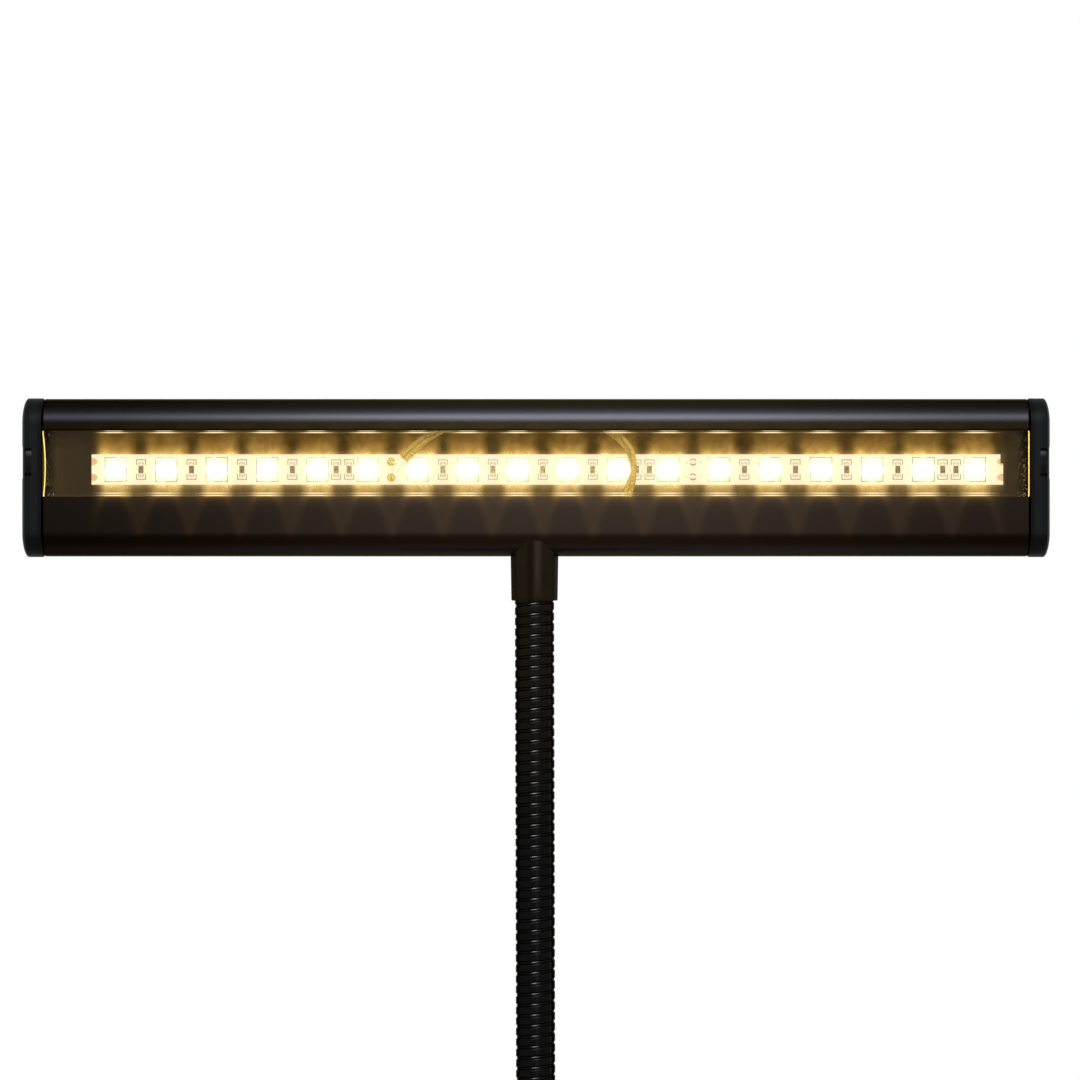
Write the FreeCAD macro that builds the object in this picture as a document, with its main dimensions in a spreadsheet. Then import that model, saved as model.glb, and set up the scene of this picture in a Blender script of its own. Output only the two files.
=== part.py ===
"""Piano lamp: a light bar on a gooseneck with a weighted round base.

Millimetres, +Z up, origin on the table under the middle of the base. The light bar lies along X and
its lit face looks towards -Y. Every driving size is a cell of the sheet "dims", and the bodies are
bound to those cells by formulas.
"""

import FreeCAD, Part
import math
import os
import re
import Sketcher

Vector = FreeCAD.Vector

# Driving sizes in millimetres, angles in degrees, and counts.
DRIVING = {
    # light bar housing, an extrusion along X
    "head_length": 324.5,
    "head_high": 52.0,
    "head_deep": 16.0,
    "head_wall": 1.5,
    "window_low": 19.6,
    "window_high": 21.8,
    "lip_thick": 1.5,
    "lip_reach": 2.6,
    "slot_wide": 1.4,
    "rib_reach": 1.2,
    "rib_thick": 1.0,
    "channel_deep": 8.0,
    # clear cover
    "cover_play": 0.12,
    "cover_proud": 0.6,
    "cover_bevel": 0.7,
    "cover_end_play": 0.3,
    # light strip, middle of the strip above the bar's bottom edge and its shift from the middle
    "strip_margin": 12.25,
    "strip_high": 10.0,
    "strip_thick": 0.25,
    "strip_mid": 28.7,
    "strip_shift": 3.3,
    "strip_tab": 0.9,
    "tape_thick": 0.2,
    "tape_inset": 0.3,
    "section_count": 3.0,
    "section_light_count": 6.0,
    "light_wide": 5.0,
    "light_thick": 1.5,
    "glow_wide": 4.0,
    "glow_thick": 0.4,
    "resistor_wide": 1.6,
    "resistor_high": 3.2,
    "resistor_thick": 0.55,
    "resistor_pair": 4.3,
    "pad_wide": 2.2,
    "pad_thick": 0.1,
    "pad_offset": 2.6,
    "pad_split": 0.3,
    "solder_wide": 2.6,
    "solder_high": 0.9,
    # flat twin lead in the bar, which passes in front of the light before its rise
    "lead_flat_wide": 2.3,
    "lead_flat_thick": 1.1,
    "lead_flat_play": 0.3,
    "lead_clear": 0.1,
    "lead_light_count": 10.0,
    "lead_aside": 3.6,
    "lead_above_nut": 0.4,
    "lead_below_top": 1.4,
    "lead_end_aside": 1.0,
    # end caps
    "cap_rim": 0.2,
    "cap_side": 5.0,
    "cap_dome": 2.2,
    "cap_crown": 4.2,
    "plug_deep": 8.0,
    "plug_play": 0.25,
    "plug_wall": 1.6,
    "tongue_mid": 31.0,
    "tongue_high": 7.8,
    "tongue_slot": 0.7,
    "tongue_slot_deep": 1.5,
    "tongue_slot_start": 3.25,
    "tongue_slot_stop": 1.6,
    "recess_high": 11.0,
    "recess_deep": 0.4,
    # ten-sided socket under the bar
    "socket_wide": 15.35,
    "socket_foot_wide": 14.75,
    "socket_high": 14.56,
    "socket_horn": 5.6,
    "socket_turn": -3.5,
    "socket_bore_deep": 7.8,
    "seat_gap": 0.03,
    "nipple_wide": 8.0,
    "nipple_bore": 5.0,
    "nipple_head": 10.0,
    "nipple_head_thick": 1.2,
    "nipple_play": 0.15,
    "saddle_length": 15.0,
    "saddle_high": 5.5,
    # gooseneck
    "neck_wide": 12.8,
    "link_length": 17.35,
    "link_count": 12.0,
    "link_bend": 14.0,
    "tenon_wide": 5.0,
    "tenon_low": 2.0,
    "tenon_play": 0.15,
    "spigot_wide": 11.8,
    "spigot_length": 6.5,
    "spigot_play": 0.12,
    "lead_wide": 3.2,
    "lead_play": 0.2,
    # cast base
    "base_wide": 125.0,
    "base_top": 24.0,
    "base_bevel": 2.5,
    "base_roof": 5.0,
    "foot_thick": 2.0,
    "foot_inset": 3.0,
    "chamber_wide": 20.0,
    "chamber_inset_front": 8.5,
    "chamber_inset_back": 10.5,
    "plate_thick": 1.5,
    "plate_ledge": 8.0,
    "plate_play": 0.3,
    "plate_drop": 1.5,
    # collar that holds the neck on the base
    "collar_high": 14.0,
    "collar_wide": 16.0,
    "tail_wide": 10.0,
    "tail_length": 6.0,
    "tail_play": 0.15,
    "nut_across": 14.0,
    "nut_thick": 4.0,
    # rocker switch, long side along Y
    "switch_inset": 22.5,
    "bezel_wide": 15.0,
    "bezel_long": 21.0,
    "bezel_high": 1.6,
    "bezel_round": 2.0,
    "switch_wide": 12.9,
    "switch_long": 18.9,
    "switch_deep": 12.0,
    "switch_play": 0.15,
    "rocker_wide": 9.8,
    "rocker_reach": 7.8,
    "rocker_play": 0.3,
    "rocker_corner": 23.0,
    "rocker_keel": 58.0,
    "rocker_dip": 1.4,
    "rocker_tilt": 9.0,
    "trunnion_wide": 1.6,
    "trunnion_play": 0.06,
    "trunnion_long": 0.9,
    "pivot_drop": 1.6,
    "blade_wide": 4.8,
    "blade_thick": 0.8,
    "blade_long": 4.5,
    "blade_gap": 7.0,
    # power inlet at the back
    "inlet_above": 12.5,
    "inlet_inset": 1.5,
    "inlet_flange": 12.0,
    "inlet_flange_thick": 1.3,
    "inlet_barrel": 8.0,
    "inlet_bore": 6.2,
    "inlet_bore_deep": 9.5,
    "inlet_long": 15.0,
    "inlet_play": 0.15,
    "inlet_pin_wide": 2.1,
    "inlet_pin_long": 8.6,
    "inlet_nut_thick": 2.0,
    "inlet_nut_across": 11.0,
}

# Sizes that follow from the driving ones, as formulas of the sheet.
FOLLOWING = {
    "round_low": "=head_deep / 2",
    "round_high": "=head_high - head_deep / 2",
    "window_top": "=window_low + window_high",
    "face": "=-head_deep / 2",
    "channel_back": "=face + channel_deep",
    "channel_low": "=window_low - lip_reach",
    "channel_top": "=window_top + lip_reach",
    "flange_front": "=face + lip_thick + cover_play",
    "flange_back": "=face + lip_thick + slot_wide - cover_play",
    "strip_length": "=head_length - 2 * strip_margin",
    "light_pitch": "=strip_length / (section_count * section_light_count)",
    "section_length": "=strip_length / section_count",
    "strip_left": "=strip_shift - strip_length / 2",
    "strip_face": "=channel_back - tape_thick - strip_thick",
    "lead_front": "=light_thick + lead_clear + lead_flat_thick / 2 - strip_face",
    "lead_rise": "=strip_left + (lead_light_count + 0.5) * light_pitch + lead_aside",
    "cap_half": "=head_deep / 2 + cap_rim",
    "cap_end": "=cap_side + cap_dome",
    "lead_room": "=lead_wide + 2 * lead_play",
    "link_gap": "=neck_wide / 2 * tan(link_bend / 2)",
    "pocket_across": "=tenon_wide * cos(link_bend) + 2 * tenon_low * sin(link_bend) + 2 * tenon_play",
    "pocket_deep": "=tenon_low * cos(link_bend) + tenon_wide / 2 * sin(link_bend) + tenon_play",
    "neck_low": "=base_top + collar_high",
    "neck_top": "=neck_low + link_count * link_length",
    "head_low": "=neck_top + socket_high",
    "socket_bore": "=spigot_wide + 2 * spigot_play",
    "socket_slope": "=(socket_wide - socket_foot_wide) / socket_high",
    "saddle_floor": "=head_wall + saddle_high",
    "ceiling": "=base_top - base_roof",
    "chamber_front": "=base_wide / 2 - chamber_inset_front",
    "chamber_back": "=base_wide / 2 - chamber_inset_back",
    "switch_ahead": "=base_wide / 2 - switch_inset",
    "inlet_seat": "=base_wide / 2 - inlet_inset",
    "plate_low": "=foot_thick + plate_drop",
    "plate_top": "=plate_low + plate_thick",
    "plate_half": "=chamber_wide / 2 + plate_ledge",
    "pivot_high": "=base_top + bezel_high - pivot_drop",
    "mouth_wide": "=rocker_wide + 2 * rocker_play",
    "mouth_long": "=2 * rocker_reach + 2 * rocker_play",
}

doc = FreeCAD.newDocument("piano_lamp")
dims = doc.addObject("Spreadsheet::Sheet", "dims")
for row, (alias, content) in enumerate([*DRIVING.items(), *FOLLOWING.items()], start=1):
    dims.set(f"A{row}", alias)
    dims.set(f"B{row}", str(content))
    dims.setAlias(f"B{row}", alias)
doc.recompute()


def formula(text):
    """Put the sheet's name before each alias, as objects outside the sheet need it."""
    names = {**DRIVING, **FOLLOWING}
    return re.sub(r"[a-z_]\w*", lambda m: f"dims.{m[0]}" if m[0] in names else m[0], str(text))


def value(text):
    """The number that a formula gives now."""
    return float(dims.evalExpression(formula(text)))


def bind(thing, **formulas):
    """Bind properties to formulas; a double underscore stands for the dot of a nested property."""
    for name, text in formulas.items():
        thing.setExpression(name.replace("__", "."), formula(text))


# ---------------------------------------------------------------- sketches


def new_body(label):
    body = doc.addObject("PartDesign::Body", label)
    body.AllowCompound = True
    return body


def sketch_on(body, plane, lift=0):
    """An empty sketch on one of the body's own planes, moved along the plane's normal by lift.

    On XY_Plane the sketch's axes are X and Y, on XZ_Plane X and Z (its normal is -Y), and on
    YZ_Plane Y and Z.
    """
    support = next(f for f in body.Origin.OriginFeatures if f.Role == plane)
    sketch = body.newObject("Sketcher::SketchObject", f"{body.Label}_sketch")
    sketch.AttachmentSupport = [(support, "")]
    sketch.MapMode = "FlatFace"
    bind(sketch, AttachmentOffset__Base__z=lift)
    return sketch


def fix(sketch, kind, geometry, point, text):
    """Hold one coordinate of a point of the sketch at a formula's value."""
    number = sketch.addConstraint(Sketcher.Constraint(kind, -1, 1, geometry, point, value(text)))
    sketch.setExpression(f"Constraints[{number}]", formula(text))


def arc_between(start, end, centre):
    """The arc under 180 degrees about centre, and whether it runs from start to end."""
    first = math.atan2(start[1] - centre[1], start[0] - centre[0])
    last = math.atan2(end[1] - centre[1], end[0] - centre[0])
    forward = (last - first) % (2 * math.pi) < math.pi
    circle = Part.Circle(Vector(*centre, 0), Vector(0, 0, 1), math.dist(start, centre))
    return Part.ArcOfCircle(circle, *((first, last) if forward else (last, first))), forward


def outline(sketch, corners):
    """A closed outline through corners (x, y); (x, y, cx, cy) starts an arc about (cx, cy)."""
    places = [tuple(value(c) for c in corner) for corner in corners]
    base = sketch.GeometryCount
    ends = []
    for here, after in zip(places, places[1:] + places[:1]):
        if len(here) == 2:
            sketch.addGeometry(Part.LineSegment(Vector(*here, 0), Vector(*after[:2], 0)), False)
            ends.append((1, 2))
        else:
            arc, forward = arc_between(here[:2], after[:2], here[2:])
            sketch.addGeometry(arc, False)
            ends.append((1, 2) if forward else (2, 1))
    count = len(corners)
    for i in range(count):
        j = (i + 1) % count
        sketch.addConstraint(
            Sketcher.Constraint("Coincident", base + i, ends[i][1], base + j, ends[j][0])
        )
    for i, corner in enumerate(corners):
        fix(sketch, "DistanceX", base + i, ends[i][0], corner[0])
        fix(sketch, "DistanceY", base + i, ends[i][0], corner[1])
        if len(corner) == 4:
            across, along = (abs(places[i][k] - places[(i + 1) % count][k]) for k in (0, 1))
            kind, text = ("DistanceX", corner[2]) if along >= across else ("DistanceY", corner[3])
            fix(sketch, kind, base + i, 3, text)
    return sketch


def rectangle(sketch, x_low, x_high, y_low, y_high):
    return outline(sketch, [(x_low, y_low), (x_high, y_low), (x_high, y_high), (x_low, y_high)])


def disc(sketch, x, y, wide):
    """A circle of the given diameter."""
    radius = value(wide) / 2
    circle = Part.Circle(Vector(value(x), value(y), 0), Vector(0, 0, 1), radius)
    number = sketch.addGeometry(circle, False)
    fix(sketch, "DistanceX", number, 3, x)
    fix(sketch, "DistanceY", number, 3, y)
    held = sketch.addConstraint(Sketcher.Constraint("Radius", number, radius))
    sketch.setExpression(f"Constraints[{held}]", formula(f"({wide}) / 2"))
    return sketch


def stadium(sketch, half, low, high):
    """A slot shape standing upright: half its width, and the heights of its two round centres."""
    return outline(
        sketch,
        [
            (f"-({half})", low),
            (f"-({half})", high, 0, high),
            (0, f"{high} + {half}", 0, high),
            (half, high),
            (half, low, 0, low),
            (0, f"{low} - ({half})", 0, low),
        ],
    )


def polygon(sketch, across, sides, turn, x=0, y=0):
    """A regular polygon with its corners on a circle of diameter across."""
    step = 360 / sides
    return outline(
        sketch,
        [
            (
                f"{x} + ({across}) / 2 * cos({turn} + {step} * {i})",
                f"{y} + ({across}) / 2 * sin({turn} + {step} * {i})",
            )
            for i in range(sides)
        ],
    )


# ---------------------------------------------------------------- features


def feature(body, kind, sketch, side="One side", reverse=False, **formulas):
    made = body.newObject(f"PartDesign::{kind}", f"{body.Label}_{kind}")
    made.Profile = sketch
    if kind in ("Pad", "Pocket"):
        made.SideType = side
        made.Reversed = reverse
    bind(made, **formulas)
    body.Tip = made
    return made


def pad(body, sketch, length, both=False, reverse=False):
    """Extrude along the sketch's normal, to both sides of it, or against it."""
    side = "Symmetric" if both else "One side"
    return feature(body, "Pad", sketch, side, reverse, Length=length)


def pocket(body, sketch, length, both=False, forward=False):
    """Cut against the sketch's normal, to both sides of it, or forward along it."""
    side = "Symmetric" if both else "One side"
    return feature(body, "Pocket", sketch, side, forward, Length=length)


def turned(body, sketch, kind="Revolution", axis="V_Axis"):
    """Spin the sketch all the way round one of its axes, as material or as a groove."""
    made = feature(body, kind, sketch)
    made.ReferenceAxis = (sketch, [axis])
    made.Angle = 360
    return made


def in_a_row(body, features, sketch, axis, spacing, count):
    """Repeat features along an axis of a sketch."""
    row = body.newObject("PartDesign::LinearPattern", f"{body.Label}_row")
    row.Originals = features
    row.Direction = (sketch, [axis])
    row.Mode = "Spacing"
    bind(row, Offset=spacing, Occurrences=count)
    body.Tip = row
    return row


def place(body, x=0, y=0, z=0):
    bind(body, Placement__Base__x=x, Placement__Base__y=y, Placement__Base__z=z)
    return body


# ---------------------------------------------------------------- leads


def lead_path(points):
    """A wire through points: straight runs joined by tangent arcs.

    An arc's radius is 0.45 of the shorter run beside it, divided by the tangent of half the turn.
    """
    points = [Vector(*p) for p in points]
    edges, here = [], points[0]
    for before, corner, after in zip(points, points[1:], points[2:]):
        run_in, run_out = corner - before, after - corner
        half = run_in.getAngle(run_out) / 2
        back = 0.45 * min(run_in.Length, run_out.Length)
        run_in.normalize()
        run_out.normalize()
        start, end = corner - run_in * back, corner + run_out * back
        bisector = (run_out - run_in).normalize()
        depth = back / math.tan(half) * (1 / math.cos(half) - 1)
        edges.append(Part.LineSegment(here, start).toShape())
        edges.append(Part.Arc(start, corner + bisector * depth, end).toShape())
        here = end
    edges.append(Part.LineSegment(here, points[-1]).toShape())
    return Part.Wire(edges)


def flat_lead(points, wide, thick):
    """A flat lead along points in a plane of constant Y, its thickness along Y."""
    path = lead_path(points)
    start = Vector(*points[0])
    across = (Vector(*points[1]) - start).normalize().cross(Vector(0, 1, 0)) * (wide / 2)
    through = Vector(0, thick / 2, 0)
    corners = [across + through, across - through, -across - through, -across + through]
    section = Part.makePolygon([start + c for c in corners + corners[:1]])
    lead = path.makePipeShell([section], True, False)
    expected = wide * thick * path.Length
    if abs(lead.Volume / expected - 1) > 0.01:
        raise ValueError(f"lead volume {lead.Volume:.1f} is not {expected:.1f}")
    return lead


# ---------------------------------------------------------------- light bar


def head_housing():
    """Hollow extrusion: an upright stadium with an open channel for the strip and the cover."""
    body = place(new_body("head_housing"), z="head_low")
    shell = stadium(sketch_on(body, "YZ_Plane"), "head_deep / 2", "round_low", "round_high")
    pad(body, shell, "head_length", both=True)
    hollow = stadium(
        sketch_on(body, "YZ_Plane"), "head_deep / 2 - head_wall", "round_low", "round_high"
    )
    pocket(body, hollow, "head_length + 2", both=True)
    block = rectangle(
        sketch_on(body, "YZ_Plane"),
        "face + head_wall / 2",
        "channel_back + head_wall",
        "channel_low - head_wall",
        "channel_top + head_wall",
    )
    pad(body, block, "head_length", both=True)
    lip_back = "face + lip_thick"
    rib_front = "face + lip_thick + slot_wide"
    rib_back = "face + lip_thick + slot_wide + rib_thick"
    half = [
        ("face - 1", "window_low"),
        (lip_back, "window_low"),
        (lip_back, "channel_low"),
        (rib_front, "channel_low"),
        (rib_front, "channel_low + rib_reach"),
        (rib_back, "channel_low + rib_reach"),
        (rib_back, "channel_low"),
        ("channel_back", "channel_low"),
    ]
    mirrored = [(y, f"window_low + window_top - ({z})") for y, z in reversed(half)]
    pocket(
        body, outline(sketch_on(body, "YZ_Plane"), half + mirrored), "head_length + 2", both=True
    )
    nipple_hole = disc(sketch_on(body, "XY_Plane"), 0, 0, "nipple_wide + 2 * nipple_play")
    pocket(body, nipple_hole, "head_wall + saddle_high / 2", forward=True)
    lead_hole = rectangle(
        sketch_on(body, "XY_Plane", "channel_low"),
        "lead_rise - lead_flat_wide / 2 - lead_flat_play",
        "lead_rise + lead_flat_wide / 2 + lead_flat_play",
        "-lead_front - lead_flat_thick / 2 - lead_flat_play",
        "-lead_front + lead_flat_thick / 2 + lead_flat_play",
    )
    pocket(body, lead_hole, "head_wall + 1")
    return body


def strip_lead():
    """Flat twin lead from above the hollow screw, up past the strip and back to its solder."""
    rise, front = value("lead_rise"), -value("lead_front")
    end = value("strip_left + section_length + lead_end_aside")
    middle, top = value("strip_mid"), value("channel_top - lead_below_top")
    route = [
        (0.0, value("saddle_floor + lead_above_nut")),
        (0.0, value("channel_low") - 5.0),
        (0.8 * rise, value("channel_low") - 7.1),
        (rise, value("channel_low") - 4.8),
        (rise, middle + 3.8),
        (rise - 3.5, top - 4.0),
        (rise - 11.4, top - 0.2),
        (end + 18.2, top),
        (end + 8.2, top - 3.7),
        (end, middle + 4.0),
    ]
    lead = doc.addObject("Part::Feature", "strip_lead")
    points = [(x, front, z) for x, z in route]
    lead.Shape = flat_lead(points, value("lead_flat_wide"), value("lead_flat_thick"))
    return place(lead, z="head_low")


def lens_cover():
    """Clear cover: a plate that fills the window and stands proud, with a flange in the grooves."""
    body = place(new_body("lens_cover"), z="head_low")
    reach = "(lip_reach - cover_play)"
    play = "cover_play"
    section = outline(
        sketch_on(body, "YZ_Plane"),
        [
            ("face - cover_proud", f"window_low + {play} + cover_bevel"),
            ("face - cover_proud + cover_bevel", f"window_low + {play}"),
            ("flange_front", f"window_low + {play}"),
            ("flange_front", f"window_low - {reach}"),
            ("flange_back", f"window_low - {reach}"),
            ("flange_back", f"window_top + {reach}"),
            ("flange_front", f"window_top + {reach}"),
            ("flange_front", f"window_top - {play}"),
            ("face - cover_proud + cover_bevel", f"window_top - {play}"),
            ("face - cover_proud", f"window_top - {play} - cover_bevel"),
        ],
    )
    pad(body, section, "head_length - 2 * cover_end_play", both=True)
    return body


def strip_adhesive():
    body = place(new_body("strip_adhesive"), z="head_low")
    tape = rectangle(
        sketch_on(body, "XZ_Plane", "-channel_back"),
        "strip_left + tape_inset",
        "strip_left + strip_length - tape_inset",
        "strip_mid - strip_high / 2 + tape_inset",
        "strip_mid + strip_high / 2 - tape_inset",
    )
    pad(body, tape, "tape_thick")
    return body


def led_strip():
    """The strip's board; its right end is cut with a small step."""
    body = place(new_body("led_strip"), z="head_low")
    low, high = "strip_mid - strip_high / 2", "strip_mid + strip_high / 2"
    right = "strip_left + strip_length"
    board = outline(
        sketch_on(body, "XZ_Plane", "tape_thick - channel_back"),
        [
            ("strip_left", low),
            (f"{right} + strip_tab", low),
            (f"{right} + strip_tab", "strip_mid + strip_high / 5"),
            (right, "strip_mid + strip_high / 5"),
            (right, high),
            ("strip_left", high),
        ],
    )
    pad(body, board, "strip_thick")
    return body


def led_packages():
    """Square light bodies in a row, each with a shallow window for the glowing part."""
    body = place(new_body("led_packages"), z="head_low")
    first = "strip_left + light_pitch / 2"
    case = rectangle(
        sketch_on(body, "XZ_Plane", "-strip_face"),
        f"{first} - light_wide / 2",
        f"{first} + light_wide / 2",
        "strip_mid - light_wide / 2",
        "strip_mid + light_wide / 2",
    )
    block = pad(body, case, "light_thick")
    window = rectangle(
        sketch_on(body, "XZ_Plane", "light_thick - strip_face"),
        f"{first} - glow_wide / 2",
        f"{first} + glow_wide / 2",
        "strip_mid - glow_wide / 2",
        "strip_mid + glow_wide / 2",
    )
    cut = pocket(body, window, "glow_thick")
    in_a_row(body, [block, cut], case, "H_Axis", "light_pitch", "section_count * section_light_count")
    return body


def led_phosphors():
    """The glowing window of each light, level with its body."""
    body = place(new_body("led_phosphors"), z="head_low")
    first = "strip_left + light_pitch / 2"
    window = rectangle(
        sketch_on(body, "XZ_Plane", "light_thick - glow_thick - strip_face"),
        f"{first} - glow_wide / 2",
        f"{first} + glow_wide / 2",
        "strip_mid - glow_wide / 2",
        "strip_mid + glow_wide / 2",
    )
    glow = pad(body, window, "glow_thick")
    in_a_row(body, [glow], window, "H_Axis", "light_pitch", "section_count * section_light_count")
    return body


def resistors():
    """Upright chip resistors between the lights: four single ones and a pair in each section."""
    body = place(new_body("resistors"), z="head_low")
    sketch = sketch_on(body, "XZ_Plane", "-strip_face")
    singles = [f"strip_left + light_pitch * {n}" for n in (1, 2, 3, 4)]
    paired = [f"strip_left + light_pitch * 5 {sign} resistor_pair / 2" for sign in "-+"]
    for middle in singles + paired:
        rectangle(
            sketch,
            f"{middle} - resistor_wide / 2",
            f"{middle} + resistor_wide / 2",
            "strip_mid - resistor_high / 2",
            "strip_mid + resistor_high / 2",
        )
    chips = pad(body, sketch, "resistor_thick")
    in_a_row(body, [chips], sketch, "H_Axis", "section_length", "section_count")
    return body


def strip_pads():
    """Copper pads either side of each cut line between the sections, and at both ends."""
    body = place(new_body("strip_pads"), z="head_low")
    sketch = sketch_on(body, "XZ_Plane", "-strip_face")
    for sign in "-+":
        middle = f"strip_mid {sign} pad_offset"
        for side in (-1, 1):
            near = f"strip_left + section_length + {side} * pad_split / 2"
            tip = f"strip_left + section_length + {side} * pad_wide / 2"
            outline(
                sketch,
                [
                    (near, f"{middle} - pad_wide / 2"),
                    (tip, f"{middle} - pad_wide / 4"),
                    (tip, f"{middle} + pad_wide / 4"),
                    (near, f"{middle} + pad_wide / 2"),
                ],
            )
    pads = pad(body, sketch, "pad_thick")
    in_a_row(body, [pads], sketch, "H_Axis", "section_length", "section_count - 1")
    return body


def solder_joints():
    """Two blobs of solder on the pads of the first cut line."""
    body = place(new_body("solder_joints"), z="head_low")
    blobs = sketch_on(body, "XZ_Plane", "pad_thick - strip_face")
    for sign in "-+":
        middle = "strip_left + section_length - pad_wide / 2"
        disc(blobs, middle, f"strip_mid {sign} pad_offset", "solder_wide")
    pad(body, blobs, "solder_high")
    return body


def end_cap(label, side):
    """Push-in cap: a stadium with a bevelled end, a snap tongue and a hollow plug.

    side is 1 at the +X end and -1 at the -X end.
    """
    body = place(new_body(label), x=f"{side} * head_length / 2", z="head_low")
    half = [
        (f"{side} * cap_end", "cap_crown"),
        (f"{side} * cap_side", "cap_half"),
        (0, "cap_half"),
    ]
    mirrored = [(x, f"-({y})") for x, y in reversed(half)]
    middle = outline(sketch_on(body, "XY_Plane", "round_low"), half + mirrored)
    pad(body, middle, "round_high - round_low")
    for level in ("round_low", "round_high"):
        rim = [(0, 0), (f"{side} * cap_end", 0)] + half
        turned(body, outline(sketch_on(body, "XY_Plane", level), rim), axis="H_Axis")
    return body


def cap_details(body, side):
    """The recess, the blind slots beside the tongue on both faces, and the plug of an end cap."""
    half = "recess_high / 2"
    recess = rectangle(
        sketch_on(body, "XZ_Plane"),
        *sorted_pair(side, "cap_end - recess_deep", "cap_end + 1"),
        f"tongue_mid - {half}",
        f"tongue_mid + {half}",
    )
    pocket(body, recess, "2 * head_deep", both=True)
    for face in (1, -1):
        slots = sketch_on(body, "XZ_Plane", f"{face} * (cap_half - tongue_slot_deep)")
        for sign in "-+":
            middle = f"tongue_mid {sign} (tongue_high + tongue_slot) / 2"
            rectangle(
                slots,
                *sorted_pair(side, "cap_end - tongue_slot_start", "cap_end - tongue_slot_stop"),
                f"{middle} - tongue_slot / 2",
                f"{middle} + tongue_slot / 2",
            )
        pocket(body, slots, "2 * tongue_slot_deep", forward=face > 0)
    inner = "(head_deep / 2 - head_wall - plug_play)"
    plug = outline(
        sketch_on(body, "YZ_Plane"),
        [
            (f"-{inner}", "round_low"),
            (f"-{inner}", "channel_low - head_wall - plug_play"),
            ("channel_back + head_wall + plug_play", "channel_low - head_wall - plug_play"),
            ("channel_back + head_wall + plug_play", "channel_top"),
            (inner, "channel_top"),
            (inner, "round_low", 0, "round_low"),
            (0, f"round_low - {inner}", 0, "round_low"),
        ],
    )
    pad(body, plug, "plug_deep", reverse=side > 0)
    core = outline(
        sketch_on(body, "YZ_Plane"),
        [
            (f"-({inner} - plug_wall)", "round_low"),
            (f"-({inner} - plug_wall)", "channel_low - head_wall - plug_play - plug_wall"),
            (f"({inner} - plug_wall)", "channel_low - head_wall - plug_play - plug_wall"),
            (f"({inner} - plug_wall)", "round_low", 0, "round_low"),
            (0, f"round_low - ({inner} - plug_wall)", 0, "round_low"),
        ],
    )
    pocket(body, core, "plug_deep", forward=side < 0)
    return body


def sorted_pair(side, near, far):
    """The lower and the higher of two places along X at the given end."""
    return (near, far) if side > 0 else (f"-({far})", f"-({near})")


def neck_socket():
    """Ten-sided connector, coped to the bar's round bottom and bored for the neck."""
    body = place(new_body("neck_socket"), z="head_low")
    sides = 10
    turn = f"90 + {180 / sides} + socket_turn"
    foot = polygon(sketch_on(body, "XY_Plane", "-socket_high"), "socket_foot_wide", sides, turn)
    horn_wide = "(socket_wide + socket_slope * socket_horn)"
    top = polygon(sketch_on(body, "XY_Plane", "socket_horn"), horn_wide, sides, turn)
    loft = body.newObject("PartDesign::AdditiveLoft", "neck_socket_loft")
    loft.Profile = foot
    loft.Sections = [top]
    loft.Ruled = True
    body.Tip = loft
    cope = disc(sketch_on(body, "YZ_Plane"), 0, "round_low", "head_deep + 2 * seat_gap")
    pocket(body, cope, "2 * socket_wide", both=True)
    bore = disc(sketch_on(body, "XY_Plane", "-socket_high"), 0, 0, "socket_bore")
    pocket(body, bore, "socket_bore_deep", forward=True)
    hole = disc(sketch_on(body, "XY_Plane"), 0, 0, "nipple_wide + 2 * nipple_play")
    pocket(body, hole, "2 * socket_high", both=True)
    return body


def socket_nipple():
    """Hollow screw with a hexagon head, from the socket's bore up through the bar's floor."""
    body = place(new_body("socket_nipple"), z="head_low - socket_high + socket_bore_deep")
    head = polygon(sketch_on(body, "XY_Plane"), "nipple_head / cos(30)", 6, 0)
    pad(body, head, "nipple_head_thick", reverse=True)
    shank = disc(sketch_on(body, "XY_Plane"), 0, 0, "nipple_wide")
    pad(body, shank, "socket_high - socket_bore_deep + saddle_floor")
    bore = disc(sketch_on(body, "XY_Plane"), 0, 0, "nipple_bore")
    pocket(body, bore, "4 * socket_high", both=True)
    return body


def saddle_nut():
    """Curved nut that lies in the bar's round bottom and takes the nipple's thread."""
    body = place(new_body("saddle_nut"), z="head_low")
    inner = "(head_deep / 2 - head_wall - seat_gap)"
    drop = "(round_low - saddle_floor)"
    block = outline(
        sketch_on(body, "YZ_Plane"),
        [
            (f"-sqrt({inner} ^ 2 - {drop} ^ 2)", "saddle_floor", 0, "round_low"),
            (0, f"round_low - {inner}", 0, "round_low"),
            (f"sqrt({inner} ^ 2 - {drop} ^ 2)", "saddle_floor"),
        ],
    )
    pad(body, block, "saddle_length", both=True)
    hole = disc(sketch_on(body, "XY_Plane"), 0, 0, "nipple_wide + 2 * seat_gap")
    pocket(body, hole, "saddle_high * 2", forward=True)
    return body


# ---------------------------------------------------------------- gooseneck


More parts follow.
